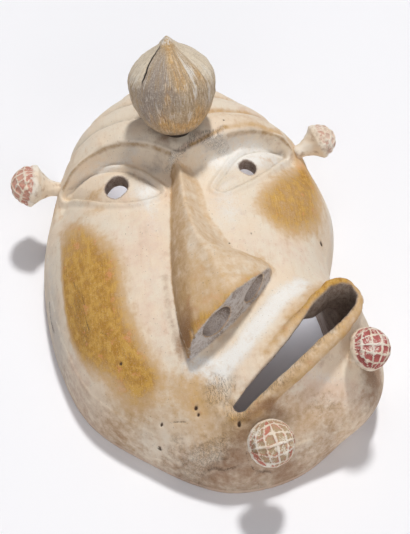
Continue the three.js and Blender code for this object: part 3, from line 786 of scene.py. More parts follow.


# Where the paint, painted shade and painted light lie on the face, in the plan, mm

patches = {  # x, y, reach across, reach up, strength
    "ochre": (
        (46, -34, 9, 7, 0.35), (92, -60, 15, 10, 0.45), (60, 92, 40, 10, 0.2), (98, 72, 9, 26, 0.45),
        (-5, -126, 12, 12, 0.25), (-48, -114, 30, 12, 0.4), (10, -148, 20, 6, 0.3), (-94, 70, 6, 22, 0.3),
        (-75, 95, 12, 20, 0.15), (-62, 32, 12, 4, 0.3), (-63, 48, 9, 8, 0.35),
        (80, -138, 40, 12, 0.2), (-15, -118, 10, 16, 0.25), (66, 62, 10, 7, 0.2), (-28, 44, 5, 6, 0.2),
        (96, -62, 14, 9, 0.15), (60, -146, 34, 12, 0.15), (-2, -136, 44, 20, 0.25),
    ),
    # brown: stains, and painted shade round the knob's foot, under the lower lip and under the jaw studs
    "brown": (
        (115, -112, 9, 14, 1.2), (108, -130, 10, 7, 0.4), (-13, -88, 7, 12, 0.5), (16, -152, 12, 8, 0.55),
        (0, -160, 40, 5, 0.3), (80, -140, 36, 8, 0.2), (-60, -118, 30, 7, 0.2), (118, -88, 8, 12, 0.45),
        (-98, 82, 7, 10, 0.4), (40, -142, 12, 3, 0.6), (58, -162, 26, 4, 0.4), (-12, 78, 5, 6, 0.6),
        (-30, -150, 26, 7, 0.3), (-4, 70, 9, 4, 0.7), (17, 71, 5, 5, 0.6), (-8, 62, 10, 5, 0.35),
    ),
    "white": (
        (30, 18, 15, 34, 0.5), (-24, 28, 9, 30, 0.5), (113, 30, 6, 30, 0.5), (-28, -40, 12, 40, 0.2),
        (46, 60, 30, 12, 0.75), (-28, 38, 12, 10, 0.4), (62, 66, 25, 9, 0.6), (-68, 118, 14, 22, 0.3),
        (-2, -112, 13, 12, 0.45), (14, -142, 8, 4, 1.2), (-56, 72, 30, 6, 0.6), (72, -122, 26, 5, 0.45),
        # the last patch, on the nose's root, is partly painted light: it brightens the crest in the knob's
        # shadow
        (70, 76, 20, 5, 0.6), (-60, 24, 30, 4, 0.3), (-102, -6, 4, 60, 0.3), (-2, 54, 8, 4, 0.4),
    ),
    # the first three: painted shade along the brows' edges and in the left eye hollow by the nose
    "grey": (
        (-30, 74, 14, 3, 0.35), (-18, 56, 8, 6, 0.35), (62, 82, 24, 2, 0.3),
        (-103, -40, 7, 60, 0.5), (-58, -128, 30, 7, 0.3), (-70, -68, 3, 4, 0.9),
        (-6, 88, 16, 12, 0.35), (24, -130, 14, 8, 0.3), (4, -120, 12, 8, 0.3),
    ),
    "pink": (
        (-35, -10, 22, 40, 0.7), (60, -25, 40, 20, 0.5), (70, 105, 30, 20, 0.5), (80, -128, 30, 8, 0.6),
        (-90, -80, 14, 30, 0.5), (20, -125, 20, 10, 0.4), (-30, -70, 16, 24, 0.5), (-45, 34, 18, 8, 0.3),
        (72, -138, 40, 16, 0.7), (-10, -148, 50, 12, 0.5),
    ),
    "cracked": (
        (-84, -38, 5, 12, 1.0), (-81, -60, 5, 10, 0.8), (-12, -153, 26, 7, 1.1), (24, 68, 16, 5, 1.1),
        (-30, -140, 16, 6, 0.5), (75, -135, 30, 8, 0.5), (4, -124, 13, 13, 0.9), (14, -142, 9, 5, 0.8),
        (-2, 54, 9, 4, 1.0),
    ),
}
strokes = {  # the line, reach to each side, strength
    "ochre": (
        (((-13, -92), (4, -90), (24, -78), (40, -62)), 5, 0.35),
        (((38, -106), (65, -85), (92, -65)), 6, 0.3),
        (((62, -82), (80, -66), (98, -58)), 8, 0.28),
        (((40, 78), (60, 86), (80, 86)), 2.6, 0.35),
        (((10, 60), (26, 70), (38, 78)), 1.6, 0.5),
    ),
    "white": (
        (((-12, -106), (6, -113), (25, -99), (45, -78), (58, -64), (74, -54)), 8, 1.0),
        (((24, -138), (44, -129), (66, -115), (88, -98)), 1.6, 0.6),
    ),
    # painted shade just under the brows' edges
    "grey": (
        (((-60, 76), (-35, 71), (-14, 58)), 4.5, 0.25),
        (((18, 60), (45, 75), (60, 79)), 3, 0.2),
    ),
    # rim band: stain; strokes under the lip, under the right brow and by the nose's left edge: painted shade
    "brown": (
        (((-104, -60), (-88, -95), (-60, -130), (-20, -158), (30, -166), (80, -150)), 7, 0.42),
        (((22, -145), (40, -138), (62, -125), (84, -110)), 2.5, 0.3),
        (((22, 61), (45, 76), (70, 81), (88, 77)), 2.5, 0.2),
        (((-22, -40), (-22, -70), (-18, -96)), 3, 0.4),
    ),
    "pink": ((((2, 57), (26, 70), (38, 78)), 2.5, 0.9),),
    "cracked": (
        (((20, -140), (44, -130), (66, -116), (88, -99), (102, -84)), 5, 0.7),
        (((4, 58), (20, 66), (38, 78)), 3, 0.8),
    ),
}
cheeks = {
    "left": (
        (-93, 44), (-78, 38), (-64, 22), (-56, 8), (-49, -8), (-46, -30), (-46, -52), (-41, -71), (-35, -88),
        (-30, -102), (-36, -113), (-50, -114), (-65, -106), (-75, -94), (-84, -80), (-91, -60), (-94, -38),
        (-94, -8), (-92, 22),
    ),
    "right": (
        (49, 12), (55, 28), (67, 43), (82, 59), (96, 70), (106, 58), (107, 34), (102, 10), (87, -4), (71, -9),
        (57, -2),
    ),
}
for side in ("left", "right"):
    cheeks[side] = loopCurve(cheeks[side], steps=3)
fades = {  # where each paint or wear starts and ends, along one measure in mm
    "leftCheekSoft": (-94, -60),
    "leftCheekUpper": (50, 12),
    "leftCheekLower": (20, -20),
    "rightCheek": (8, -14),
    "noseSkin": (2.5, 0.4),
    "noseRoot": (66, 58),
    "noseFront": (0.6, -0.4),
    "noseFoot": (-20, -80),
    "noseLeft": (26, 4),
    "facet": (0.5, -5),
    "facetPale": (-60, 20),
    "lipSkin": (2.5, 0.5),
    "lowerLip": (3, -3),
    "lipRight": (20, 100),
    "creaseRight": (-40, 60),
    "wallFront": (-1.3, -0.8),
    "wallBack": (1.3, 0.4),
    "wallRight": (53, 50),
    "wallLeft": (-103, -100),
    "pocketSkin": (1.3, 0.4),
    "pocketDeep": (-0.8, -1.8),
    "inside": (2.0, 0.5),
    "throat": (1.7, 0.3),
    "eyeHole": (1.3, 0.3),
}
strengths = {
    "leftCheek": (0.75, 0.25),  # of the upper and of the lower fade
    "rightCheek": 0.8,
    "nose": (0.3, 0.15, 0.2),  # all over, on the left facet, at the foot
    "lip": (0.05, 0.15, 0.35),  # all round, on the lower lip, towards the right
    # painted shade along the forehead's creases
    "creaseShadeOchre": (0.4, 3),  # strength and reach
    "creaseShadeGrey": (0.35, 2),
    "facetBrown": (0.38, 0.5),  # strength, and how much less of it at the top
    "upperLipBare": 0.4,
}
startZ = {"folds": 60, "nostril": 76, "pocket": 84, "pits": 25, "lines": 60}  # mm over the rim
cheekSoft = (3, 15, 0.35)  # mm at the outer side, what is added inwards, and the share outside the outline
pitDarkReach = 1.2  # of the pit's radius: how far the dark round a pit reaches, partly painted shade
browLine = {"halfWidth": 88, "hidden": (-4, 38)}  # the dark line along the brow, and where it is rubbed off
noLine = 30  # mm, farther from a line than its paint reaches


def fade(name, x):
    return smoothStep(*fades[name], x)


def patchWeight(x, y, name):
    weight = np.zeros(len(x))
    for *place, strength in patches[name]:
        weight += strength * softPatch(x, y, *place)
    for line, reach, strength in strokes.get(name, ()):
        weight += strength * softRidge(strokeGap(x, y, line), 0, reach)
    return weight


def cheekWeight(x, y):
    soft, added, outside = cheekSoft
    soft = soft + added * fade("leftCheekSoft", x)
    left = smoothStep(outside * soft, -soft, outlineGap(x, y, cheeks["left"]))
    right = fade("rightCheek", outlineGap(x, y, cheeks["right"]))
    upper, lower = strengths["leftCheek"]
    left = left * (upper * fade("leftCheekUpper", y) + lower * fade("leftCheekLower", y))
    return left + strengths["rightCheek"] * right


def creaseWeights(up, name):
    strength, reach = strengths[name]
    return [strength * softRidge(up, crease, reach) for crease in foldShape["creases"]]


def pitWeight(x, y):
    weight = np.zeros(len(x))
    for atX, atY, radius, _ in pits:
        away = (x - atX) ** 2 + (y - atY) ** 2
        weight = np.maximum(weight, np.exp(-(away / (pitDarkReach * radius) ** 2)))
    return weight


def bareWeight(p):
    # the unpainted wood inside the shell and in the walls of the mouth and the eye holes
    throat = within(mouthShape["openingBox"], mouthGap, p)
    skins = (("inside", hollowGap(p)), ("throat", throat), ("eyeHole", eyeHoleGap(p)))
    return np.maximum.reduce([fade(name, np.abs(gap)) for name, gap in skins])


def paintZones(p):
    # how strongly each paint, wear or painted shade lies on each point of the skin
    x, y, z = p.T
    weights = {name: patchWeight(x, y, name) for name in patches}
    weights["ochre"] += cheekWeight(x, y)
    wall = nostrilWallGap(x, y)
    nose = fade("noseSkin", np.abs(within(noseShape["box"], noseGap, p)))
    nose = nose * fade("noseRoot", y) * fade("noseFront", wall)
    facet = fade("facet", x - noseLine(y, noseShape["facetX"]))
    base, onFacet, atFoot = strengths["nose"]
    weights["ochre"] += nose * (base + onFacet * facet + atFoot * fade("noseFoot", y) * fade("noseLeft", x))
    lip = fade("lipSkin", np.abs(within(mouthShape["lipBox"], lipGap, p)))
    lower = fade("lowerLip", overSlope(x, y))
    base, onLower, onRight = strengths["lip"]
    weights["ochre"] += lip * (base + onLower * lower + onRight * fade("lipRight", x))
    up = foldRise(x, y)
    folded = z > startZ["folds"]
    # painted shade along the forehead's creases: ochre towards the right, grey all along
    for rubbed, greyCreaseShade in zip(creaseWeights(up, "creaseShadeOchre"), creaseWeights(up, "creaseShadeGrey")):
        weights["ochre"] += rubbed * fade("creaseRight", x) * folded
        weights["grey"] += greyCreaseShade * folded
    brown, lessAtTop = strengths["facetBrown"]
    weights["brown"] += brown * nose * facet * (1 - lessAtTop * fade("facetPale", y))
    weights["white"] *= (1 - nose) * (1 - strengths["upperLipBare"] * lip * (1 - lower))
    onWall = fade("wallFront", wall) * fade("wallBack", wall) * fade("wallRight", x)
    weights["nostril"] = onWall * (z > startZ["nostril"]) * fade("wallLeft", y)
    pocket = fade("pocketSkin", np.abs(nostrilGap(p))) * fade("pocketDeep", wall)
    weights["pocket"] = pocket * (z > startZ["pocket"])
    weights["cut"] = cutGap(x, y)
    weights["pit"] = pitWeight(x, y) * (z > startZ["pits"])
    weights["bare"] = bareWeight(p)
    lined = z > startZ["lines"]
    weights["lid"] = np.where(lined, eyeGap(x, y), noLine)
    hiddenFrom, hiddenTo = browLine["hidden"]
    onBrow = lined & (np.abs(x - browShape["centre"]) < browLine["halfWidth"])
    weights["brow"] = np.where(onBrow & ((x < hiddenFrom) | (x > hiddenTo)), browGap(x, y), noLine)
    return weights


paint = {
    "cream": (0.8, 0.7, 0.57),
    "warmCream": (0.81, 0.67, 0.52),
    "pinkCream": (0.76, 0.58, 0.46),
    "taupe": (0.5, 0.45, 0.4),
    "chalk": (0.86, 0.84, 0.8),
    "tan": (0.66, 0.46, 0.27),
    "ochre": (0.61, 0.35, 0.075),
    "ochreDeep": (0.43, 0.21, 0.03),
    "orange": (0.62, 0.28, 0.1),
    "brown": (0.25, 0.12, 0.055),
    "nostrilGrey": (0.6, 0.56, 0.54),
    "nostrilDark": (0.36, 0.29, 0.25),
    # painted shade deep in the nostrils
    "pocketShade": (0.14, 0.1, 0.08),
    "pocketLight": (0.5, 0.44, 0.41),
    "lidLine": (0.38, 0.29, 0.21),
    "browLine": (0.34, 0.19, 0.06),
    "crack": (0.09, 0.055, 0.035),
    "bareDark": (0.26, 0.18, 0.14),
    "bareLight": (0.52, 0.43, 0.36),
}
shellNoises = {  # scale, detail, roughness, and for the wood's fibres the stretch along x, y and z
    "cloud": (32, 3, 0.55),
    "blot": (70, 4, 0.7),
    "mottle": (170, 4, 0.65),
    "grit": (1100, 3, 0.6),
    "speck": (700, 1, 0.55),
    "grain": (1000, 4, 0.65, 1, 0.07, 0.5),
    "streak": (260, 3, 0.55, 1, 0.12, 0.6),
}
rimEdge = (0.0055, 0.0035)  # m, the pinker edge along the rim
pocketShadeEnds = (0.116, 0.097)  # m, where the painted shade in the nostrils fades on the way down


def noisesOf(place, settings):
    made = {}
    for name, (scale, detail, rough, *stretch) in settings.items():
        where = place.stretched(*stretch) if stretch else place
        made[name] = where.noise(scale, detail, rough)
    return made


def groundPaint(zone, noise, uneven, chalk):
    # cream with pinker and greyer parts, grey painted shade by brows and creases, thin brushed tan and chalk
    colour = noise["cloud"].smooth(0.38, 0.62).blend(paint["cream"], paint["warmCream"])
    pinkish = zone["pink"] * 0.7 + uneven + (noise["blot"] - 0.5)
    colour = pinkish.smooth(0.05, 0.8).blend(colour, paint["pinkCream"])
    brush = (noise["streak"] * 0.5 + noise["grain"] * 0.5).smooth(0.5, 0.7) * 0.28
    colour = brush.blend(colour, paint["tan"])
    colour = (zone["grey"] + uneven * 0.6).smooth(0.05, 0.8).blend(colour, paint["taupe"])
    return chalk.smooth(0.15, 0.9).blend(colour, paint["chalk"])


def ochrePaint(colour, zone, noise, uneven):
    # tan, then streaky ochre with some orange, then brown stains and brown painted shade
    warm = zone["ochre"] + uneven * 0.75
    colour = warm.smooth(0.02, 0.5).blend(colour, paint["tan"])
    mixed = noise["grain"] * 0.3 + noise["streak"] * 0.2 + noise["mottle"] * 0.5
    deep = mixed.smooth(0.42, 0.58).blend(paint["ochreDeep"], paint["ochre"])
    deep = noise["blot"].smooth(0.56, 0.66).blend(deep, paint["orange"])
    colour = warm.smooth(0.35, 0.95).blend(colour, deep)
    # brown stains, with brown painted shade by the knob, the lip, the right brow, the nose and the studs
    stain = zone["brown"] + uneven * 0.8
    return (stain.smooth(0.05, 0.95) * 0.85).blend(colour, paint["brown"])


def nostrilPaint(colour, zone, noise, rise):
    # the pinker rim, the grey wall between the nostrils, and painted shade inside them, darker higher up
    mottle, grit = noise["mottle"], noise["grit"]
    edge = rise.smooth(*rimEdge) * mottle.smooth(0.3, 0.5)
    colour = (edge * 0.6).blend(colour, paint["pinkCream"])
    septum = (mottle * 0.6 + grit * 0.4).smooth(0.4, 0.55).blend(paint["nostrilDark"], paint["nostrilGrey"])
    colour = zone["nostril"].blend(colour, septum)
    # painted shade in the nostrils, darker higher up and broken by grit, over a paler brown-grey
    pocketShading = grit * 0.5 + mottle * 0.3 + rise.smooth(*pocketShadeEnds) * 0.3
    pocketPaintAndShade = pocketShading.smooth(0.44, 0.78).blend(paint["pocketShade"], paint["pocketLight"])
    return (zone["pocket"] + (grit - 0.5) * 0.6).smooth(0.3, 0.8).blend(colour, pocketPaintAndShade)


def linePaint(colour, zone, mottle):
    # the drawn lines round the eyes and along the brow
    lidLine = (1 - abs(zone["lid"]).smooth(0.1, 1.2)) * (mottle * 0.8 - 0.1).clipped()
    colour = lidLine.blend(colour, paint["lidLine"])
    browEdge = (1 - abs(zone["brow"] + 0.2).smooth(0.1, 1.1)) * (mottle * 2 - 0.35).clipped() * 0.8
    return browEdge.blend(colour, paint["browLine"])


def crackPaint(colour, zone, noise, fine):
    # hair cracks, scratches, pale and tan grit, specks, pits (partly painted shade) and the short open cuts
    mottle, grit = noise["mottle"], noise["grit"]
    colour = (fine * 0.8).blend(colour, paint["crack"])
    scratch = noise["grain"].smooth(0.66, 0.72) * mottle.smooth(0.48, 0.6)
    colour = (scratch * 0.55).blend(colour, paint["cream"])
    colour = (grit.smooth(0.54, 0.66) * 0.22).blend(colour, paint["cream"])
    colour = (grit.smooth(0.46, 0.34) * 0.2).blend(colour, paint["tan"])
    colour = (noise["speck"].smooth(0.72, 0.76) * 0.4).blend(colour, paint["crack"])
    # dark pits, partly painted shade for holes finer than the mesh
    colour = zone["pit"].smooth(0.25, 0.7).blend(colour, paint["crack"])
    shown = (mottle * 0.5 + grit * 0.5).smooth(0.42, 0.54)
    parted = (1 - (zone["cut"] + (grit - 0.5) * 1.5).smooth(0.1, 0.6)) * shown
    return (parted * 0.75).blend(colour, paint["crack"])


def paintShell():
    # worn chalky paint over wood, and bare wood inside
    material, wire, shader = newMaterial("chalkyPaint")
    place = wire.node("ShaderNodeTexCoord", output="Object")
    rise = wire.node("ShaderNodeSeparateXYZ", {}, {0: place}, "Z")
    names = (*patches, "nostril", "pocket", "pit", "cut", "bare", "lid", "brow")
    zone = {name: wire.stored(name) for name in names}
    noise = noisesOf(place, shellNoises)
    mottle, grit, grain, streak = (noise[name] for name in ("mottle", "grit", "grain", "streak"))
    uneven = (mottle - 0.5) * 0.9 + (noise["blot"] - 0.5) * 0.5 + (streak - 0.5) * 0.35 + (grit - 0.5) * 0.3
    chalk = zone["white"] + (mottle - 0.5) * 0.9 + (streak - 0.5) * 0.4 + (grit - 0.5) * 0.4
    fine = (1 - abs(grain - 0.5).smooth(0.0, 0.03)) * (zone["cracked"] + (mottle - 0.5)).smooth(0.3, 0.8)

    colour = groundPaint(zone, noise, uneven, chalk)
    colour = ochrePaint(colour, zone, noise, uneven)
    colour = nostrilPaint(colour, zone, noise, rise)
    colour = linePaint(colour, zone, mottle)
    colour = crackPaint(colour, zone, noise, fine)
    wood = (grit * 0.5 + streak * 0.5).smooth(0.35, 0.65).blend(paint["bareDark"], paint["bareLight"])
    colour = zone["bare"].blend(colour, wood)

    height = grain * 0.35 + mottle * 0.5 + grit * 0.35 + chalk.smooth(0.3, 0.8) * 0.5 - fine * 1.2
    finishMaterial(wire, shader, colour, 0.62 + grit * 0.25, height, strength=0.6, depth=0.0008)
    return material


def makeShell(material):
    cell = mask["cell"]
    low = np.array(mask["gridLow"])
    blocks = [math.ceil(extent / (blockSide * cell)) for extent in mask["gridExtent"]]
    points, faces = surfaceNet(sampleField(maskGap, low, blocks, cell), low, cell)
    points = settle(maskGap, points)
    mesh = makeMesh("maskFace", points, faces)
    print("shell net", len(faces) * 2, "triangles")
    share = mask["triangles"] / (len(faces) * 2)
    if share < 1:
        mesh = applied(mesh, "DECIMATE", {"ratio": share})
        mesh.shade_smooth()
    points = settle(maskGap, meshPoints(mesh), limit=mask["lastMove"])
    points[:, 2] = np.maximum(points[:, 2], 0)
    mesh.vertices.foreach_set("co", points.astype(np.float32).ravel())
    for name, values in paintZones(points).items():
        storeNumber(mesh, name, values)
    print("shell painted,", len(mesh.polygons), "faces")
    return addPiece("mask_face", mesh, "mask_shell", material)


# The knob and the studs

knob = {
    "foot": (2.6, 77.2, 113.2),
    "aim": (-0.04, 0.4, 0.915),
    "length": 73.0,
    "sides": 200,
    "rows": 130,
    "softened": 3,  # times that the outline is evened out
    "ripples": ((0.35, 13, 5), (0.2, 6, 6)),  # height in mm, size and seed
    "sink": 0.35,
    "fibreLength": 300,  # mm up the knob that count as much as one radian round it
    "plainTip": 6.0,  # mm of radius, under which the carving fades out
    "thinnest": 0.2,
    "tuft": (0.9, 5, 40, 69, 1.6),  # height, lobes, degrees of sway, place up the knob and reach
    "tuftChips": (68, 70),  # mm up the knob, where the white chips start
    # mm up the knob: painted shade that darkens it towards the foot, and the painted shadow right at the foot
    "footShade": (9, 3),
    "footShadow": (3.2, 1.6),
    "wood": (0.4, 0.28, 0.16),
    "paleWood": (0.62, 0.5, 0.36),
    "taupe": (0.34, 0.28, 0.235),
    "ochre": (0.66, 0.42, 0.17),
    "ochreDeep": (0.42, 0.23, 0.08),
    "white": (0.72, 0.67, 0.6),
    "petal": (0.78, 0.68, 0.53),
    "dark": (0.18, 0.12, 0.08),
    # nearly black painted shade, in the petal cuts and right at the foot
    "groove": (0.03, 0.022, 0.018),
    "outline": (  # share of the length, radius
        (-0.06, 9), (0, 12.5), (0.03, 17), (0.09, 21), (0.16, 24.5), (0.23, 27.3), (0.38, 31), (0.52, 31.9),
        (0.6, 31), (0.666, 29), (0.74, 24.2), (0.8, 18.5), (0.85, 13.2), (0.9, 8.8), (0.96, 4.2), (1, 1),
    ),
}
petals = {
    "left": {
        "edge": ((41, -141), (45, -140), (54, -142), (60, -152), (66, -160), (71, -164)),  # height, degrees
        "turn": -1,
        "cut": 2.4,  # mm deep
        "opening": 0.9,  # mm that the cut widens by
        "step": 1.1,  # mm down to the next petal
    },
    "right": {
        "edge": ((36, -30), (42, -33), (49, -41), (58, -41), (67, -40), (71, -42)),
        "turn": 1,
        "cut": 0.5,
        "opening": 0.5,
        "step": 0.7,
    },
}
petalFades = {
    "foot": 12,  # mm over which a cut starts
    "tip": 66,  # mm up the knob, from which it ends
    "beside": (-0.5, 1.5),
    "round": (95, 60),  # degrees, how far the step reaches behind the petal
    "cutWidth": 0.6,
    "darkFrom": 2,  # mm of cut, from which the painted shade in it is fully dark
}
knobPaint = {  # degrees round the axis, height, reach round, reach up in mm, strength
    "ochre": (
        (-87, 61, 14, 9, 0.45), (-80, 49, 12, 8, 0.5), (-48, 49, 10, 9, 0.5), (-85, 12, 50, 8, 0.6),
        (-80, 70, 90, 6, 0.6), (-112, 22, 20, 9, 0.4), (-60, 26, 14, 11, 0.5), (-100, 40, 8, 9, 0.3),
        (60, 30, 60, 14, 0.4), (140, 50, 30, 14, 0.3), (-30, 16, 30, 8, 0.4), (-68, 58, 6, 8, 0.4),
    ),
    "taupe": (
        (-128, 38, 30, 24, 0.6), (-108, 55, 16, 14, 0.4), (-135, 20, 25, 10, 0.4), (-90, 42, 14, 12, 0.35),
        (100, 45, 40, 22, 0.5), (-150, 66, 18, 5, 0.4), (-40, 24, 14, 12, 0.25),
    ),
    "white": (
        (-58, 55, 7, 9, 0.6), (-62, 40, 12, 8, 0.4), (-72, 22, 8, 7, 0.55), (-96, 24, 9, 5, 0.5),
        (-28, 52, 10, 16, 0.4), (-160, 52, 16, 14, 0.6), (-40, 33, 10, 9, 0.3), (20, 40, 30, 20, 0.4),
        (-118, 30, 6, 14, 0.3), (-78, 60, 5, 10, 0.35),
    ),
}
studs = {
    "temple_left": {
        "foot": (-88.9, 77.2, 53.1), "aim": (-0.94, 0.08, 0.3), "cap": 16.3, "length": 36.0, "gridTurn": 8,
        "field": (0.62, 0.33, 0.25), "deepField": (0.5, 0.2, 0.15), "smear": 0.2, "redShare": 0.3,
    },
    "temple_right": {
        "foot": (96, 82, 60), "aim": (0.93, 0.25, 0.26), "cap": 14.0, "length": 30.0, "gridTurn": -10,
        "field": (0.7, 0.52, 0.42), "deepField": (0.6, 0.36, 0.28), "smear": 0.36, "redShare": 0.2,
    },
    "jaw_left": {
        "foot": (32.2, -154, 51.9), "aim": (0.15, -0.5, 0.85), "cap": 17.0, "length": 34.0, "gridTurn": 12,
        "field": (0.42, 0.3, 0.17), "deepField": (0.5, 0.15, 0.1), "smear": 0.28, "redShare": 0.35,
    },
    "jaw_right": {
        "foot": (101.4, -106, 73), "aim": (0.5, -0.28, 0.82), "cap": 15.8, "length": 33.0, "gridTurn": 5,
        "field": (0.44, 0.08, 0.08), "deepField": (0.32, 0.05, 0.05), "smear": 0.28, "redShare": 0.4,
    },
}
studShape = {
    "stalk": 5.5,  # mm, its radius
    "root": -4.0,
    "flare": 1.8,
    "capDepth": 1.05,  # of the cap's radius
    "neckShare": 0.95,
    "tip": 0.05,
    "rows": (16, 20),  # of the stalk and of the cap
    "sides": 144,
    "worn": (0.7, 13, 8),  # height, size and seed of the hollows worn into it
    "wornStretch": 1.1,
    "sink": 0.35,
}
grid = {
    "pitch": 0.485,  # of the cap's radius
    "ridge": 2.2,  # mm
    "depth": 1.1,
    "reach": 0.1,  # how far down the cap the grid goes, of its radius
    "reachSoft": 1.5,
    "drift": 0.5,  # how far the hand-cut lines wander, of a field
    "driftScale": 0.15,
    "driftApart": 40.0,  # mm, so that the two sets of lines wander differently
}
studPaint = {
    "cream": (0.83, 0.76, 0.66),
    "stalk": (0.8, 0.68, 0.54),
    "dirt": (0.42, 0.28, 0.18),
}


def axesOf(aim):
    aim = np.array(aim, float) / np.linalg.norm(aim)
    across = np.cross([0, 1.0, 0], aim)
    across = across / np.linalg.norm(across)
    return aim, across, np.cross(aim, across)


def turned(outline, foot, aim, sides):
    # a closed turned solid from (height, radius) pairs; a radius may be a row with one for each side
    aim, across, over = axesOf(aim)
    angle = np.arange(sides) * 2 * math.pi / sides
    ring = np.cos(angle)[:, None] * across + np.sin(angle)[:, None] * over
    heights = np.array([h for h, _ in outline], float)
    radii = np.array([np.broadcast_to(r, sides) for _, r in outline], float)
    points = np.array(foot, float) + heights[:, None, None] * aim + radii[:, :, None] * ring
    points = points.reshape(-1, 3)
    ends = [np.array(foot) + heights[0] * aim, np.array(foot) + heights[-1] * aim]
    faces = []
    last = len(outline) - 1
    for j in range(sides):
        k = (j + 1) % sides
        for i in range(last):
            faces.append((i * sides + j, i * sides + k, (i + 1) * sides + k, (i + 1) * sides + j))
        faces.append((len(points), k, j))
        faces.append((len(points) + 1, last * sides + j, last * sides + k))
    return np.concatenate([points, ends]), faces


def roundTo(angle, other):
    # the shorter way round, in degrees
    return (angle - other + 180) % 360 - 180


def storeKnobPaint(mesh, h, a, groove, behind):
    # where paint and the cuts' painted shade lie, the petals and the wood's fibres, which run up the knob
    ends = np.zeros(2)
    for name, group in knobPaint.items():
        weight = np.zeros_like(h)
        for atA, atH, reachA, reachH, strength in group:
            weight += strength * softPatch(roundTo(a, atA), h, 0, atH, reachA, reachH)
        storeNumber(mesh, name, np.append(weight.ravel(), ends))
    storeNumber(mesh, "groove", np.append(groove.ravel(), ends))
    storeNumber(mesh, "petal", np.append(1 - behind.ravel(), ends))
    storeNumber(mesh, "rise", np.append(h.ravel(), (h[0, 0], h[-1, 0])))
    turn = np.radians(a)
    fibre = np.stack([np.cos(turn), np.sin(turn), h / knob["fibreLength"]], -1).reshape(-1, 3)
    layer = mesh.attributes.new("fibre", "FLOAT_VECTOR", "POINT")
    layer.data.foreach_set("vector", np.concatenate([fibre, np.zeros((2, 3))]).astype(np.float32).ravel())


def makeKnob(material):
    outline = np.array(knob["outline"])
    outline[:, 0] *= knob["length"]
    sides = knob["sides"]
    height = np.linspace(outline[0, 0], outline[-1, 0], knob["rows"])
    plain = np.interp(height, outline[:, 0], outline[:, 1])
    for _ in range(knob["softened"]):
        plain[1:-1] = (plain[:-2] + 2 * plain[1:-1] + plain[2:]) / 4
    h, a = np.meshgrid(height, np.arange(sides) * 360 / sides, indexing="ij")
    radius = np.repeat(plain[:, None], sides, axis=1)
    mm = radius * math.pi / 180  # round the knob, in a degree
    carved = ripples(a * mm, h, knob["ripples"]) - knob["sink"]
    groove = np.zeros_like(h)
    behind = np.ones_like(h)
    for petal in petals.values():
        start = petal["edge"][0][0]
        away = roundTo(a, np.interp(h, *zip(*petal["edge"])))
        across = away * mm * petal["turn"]
        shown = smoothStep(start, start + petalFades["foot"], h)
        shown = shown * smoothStep(knob["length"] + 1, petalFades["tip"], h)
        line = softRidge(across, 0, petalFades["cutWidth"] + petal["opening"] * shown) * shown
        wide = smoothStep(*petalFades["beside"], across) * smoothStep(*petalFades["round"], np.abs(away))
        wide = wide * shown
        carved -= petal["cut"] * line + petal["step"] * wide
        # painted shade in the cut, darker the deeper it is
        groove = np.maximum(groove, line * min(1, petal["cut"] / petalFades["darkFrom"]))
        behind = np.minimum(behind, 1 - wide)
    rise, lobes, sway, at, reach = knob["tuft"]
    carved += rise * np.maximum(0, np.cos(np.radians(a * lobes + sway * np.sin(h)))) * softRidge(h, at, reach)
    radius = np.maximum(radius + carved * smoothStep(0, knob["plainTip"], radius), knob["thinnest"])
    points, faces = turned(list(zip(height, radius)), knob["foot"], knob["aim"], sides)
    mesh = makeMesh("knobBud", points, faces)
    storeKnobPaint(mesh, h, a, groove, behind)
    return addPiece("knob_bud", mesh, "forehead_knob", material)


knobFibres = {  # scale, detail and roughness along the fibres that are stored on the knob
    "broad": (9, 3, 0.6),
    "streak": (26, 4, 0.65),
    "hair": (55, 3, 0.6),
}
knobNoises = {
    "mottle": (130, 4, 0.6),
    "grit": (1000, 3, 0.55),
}


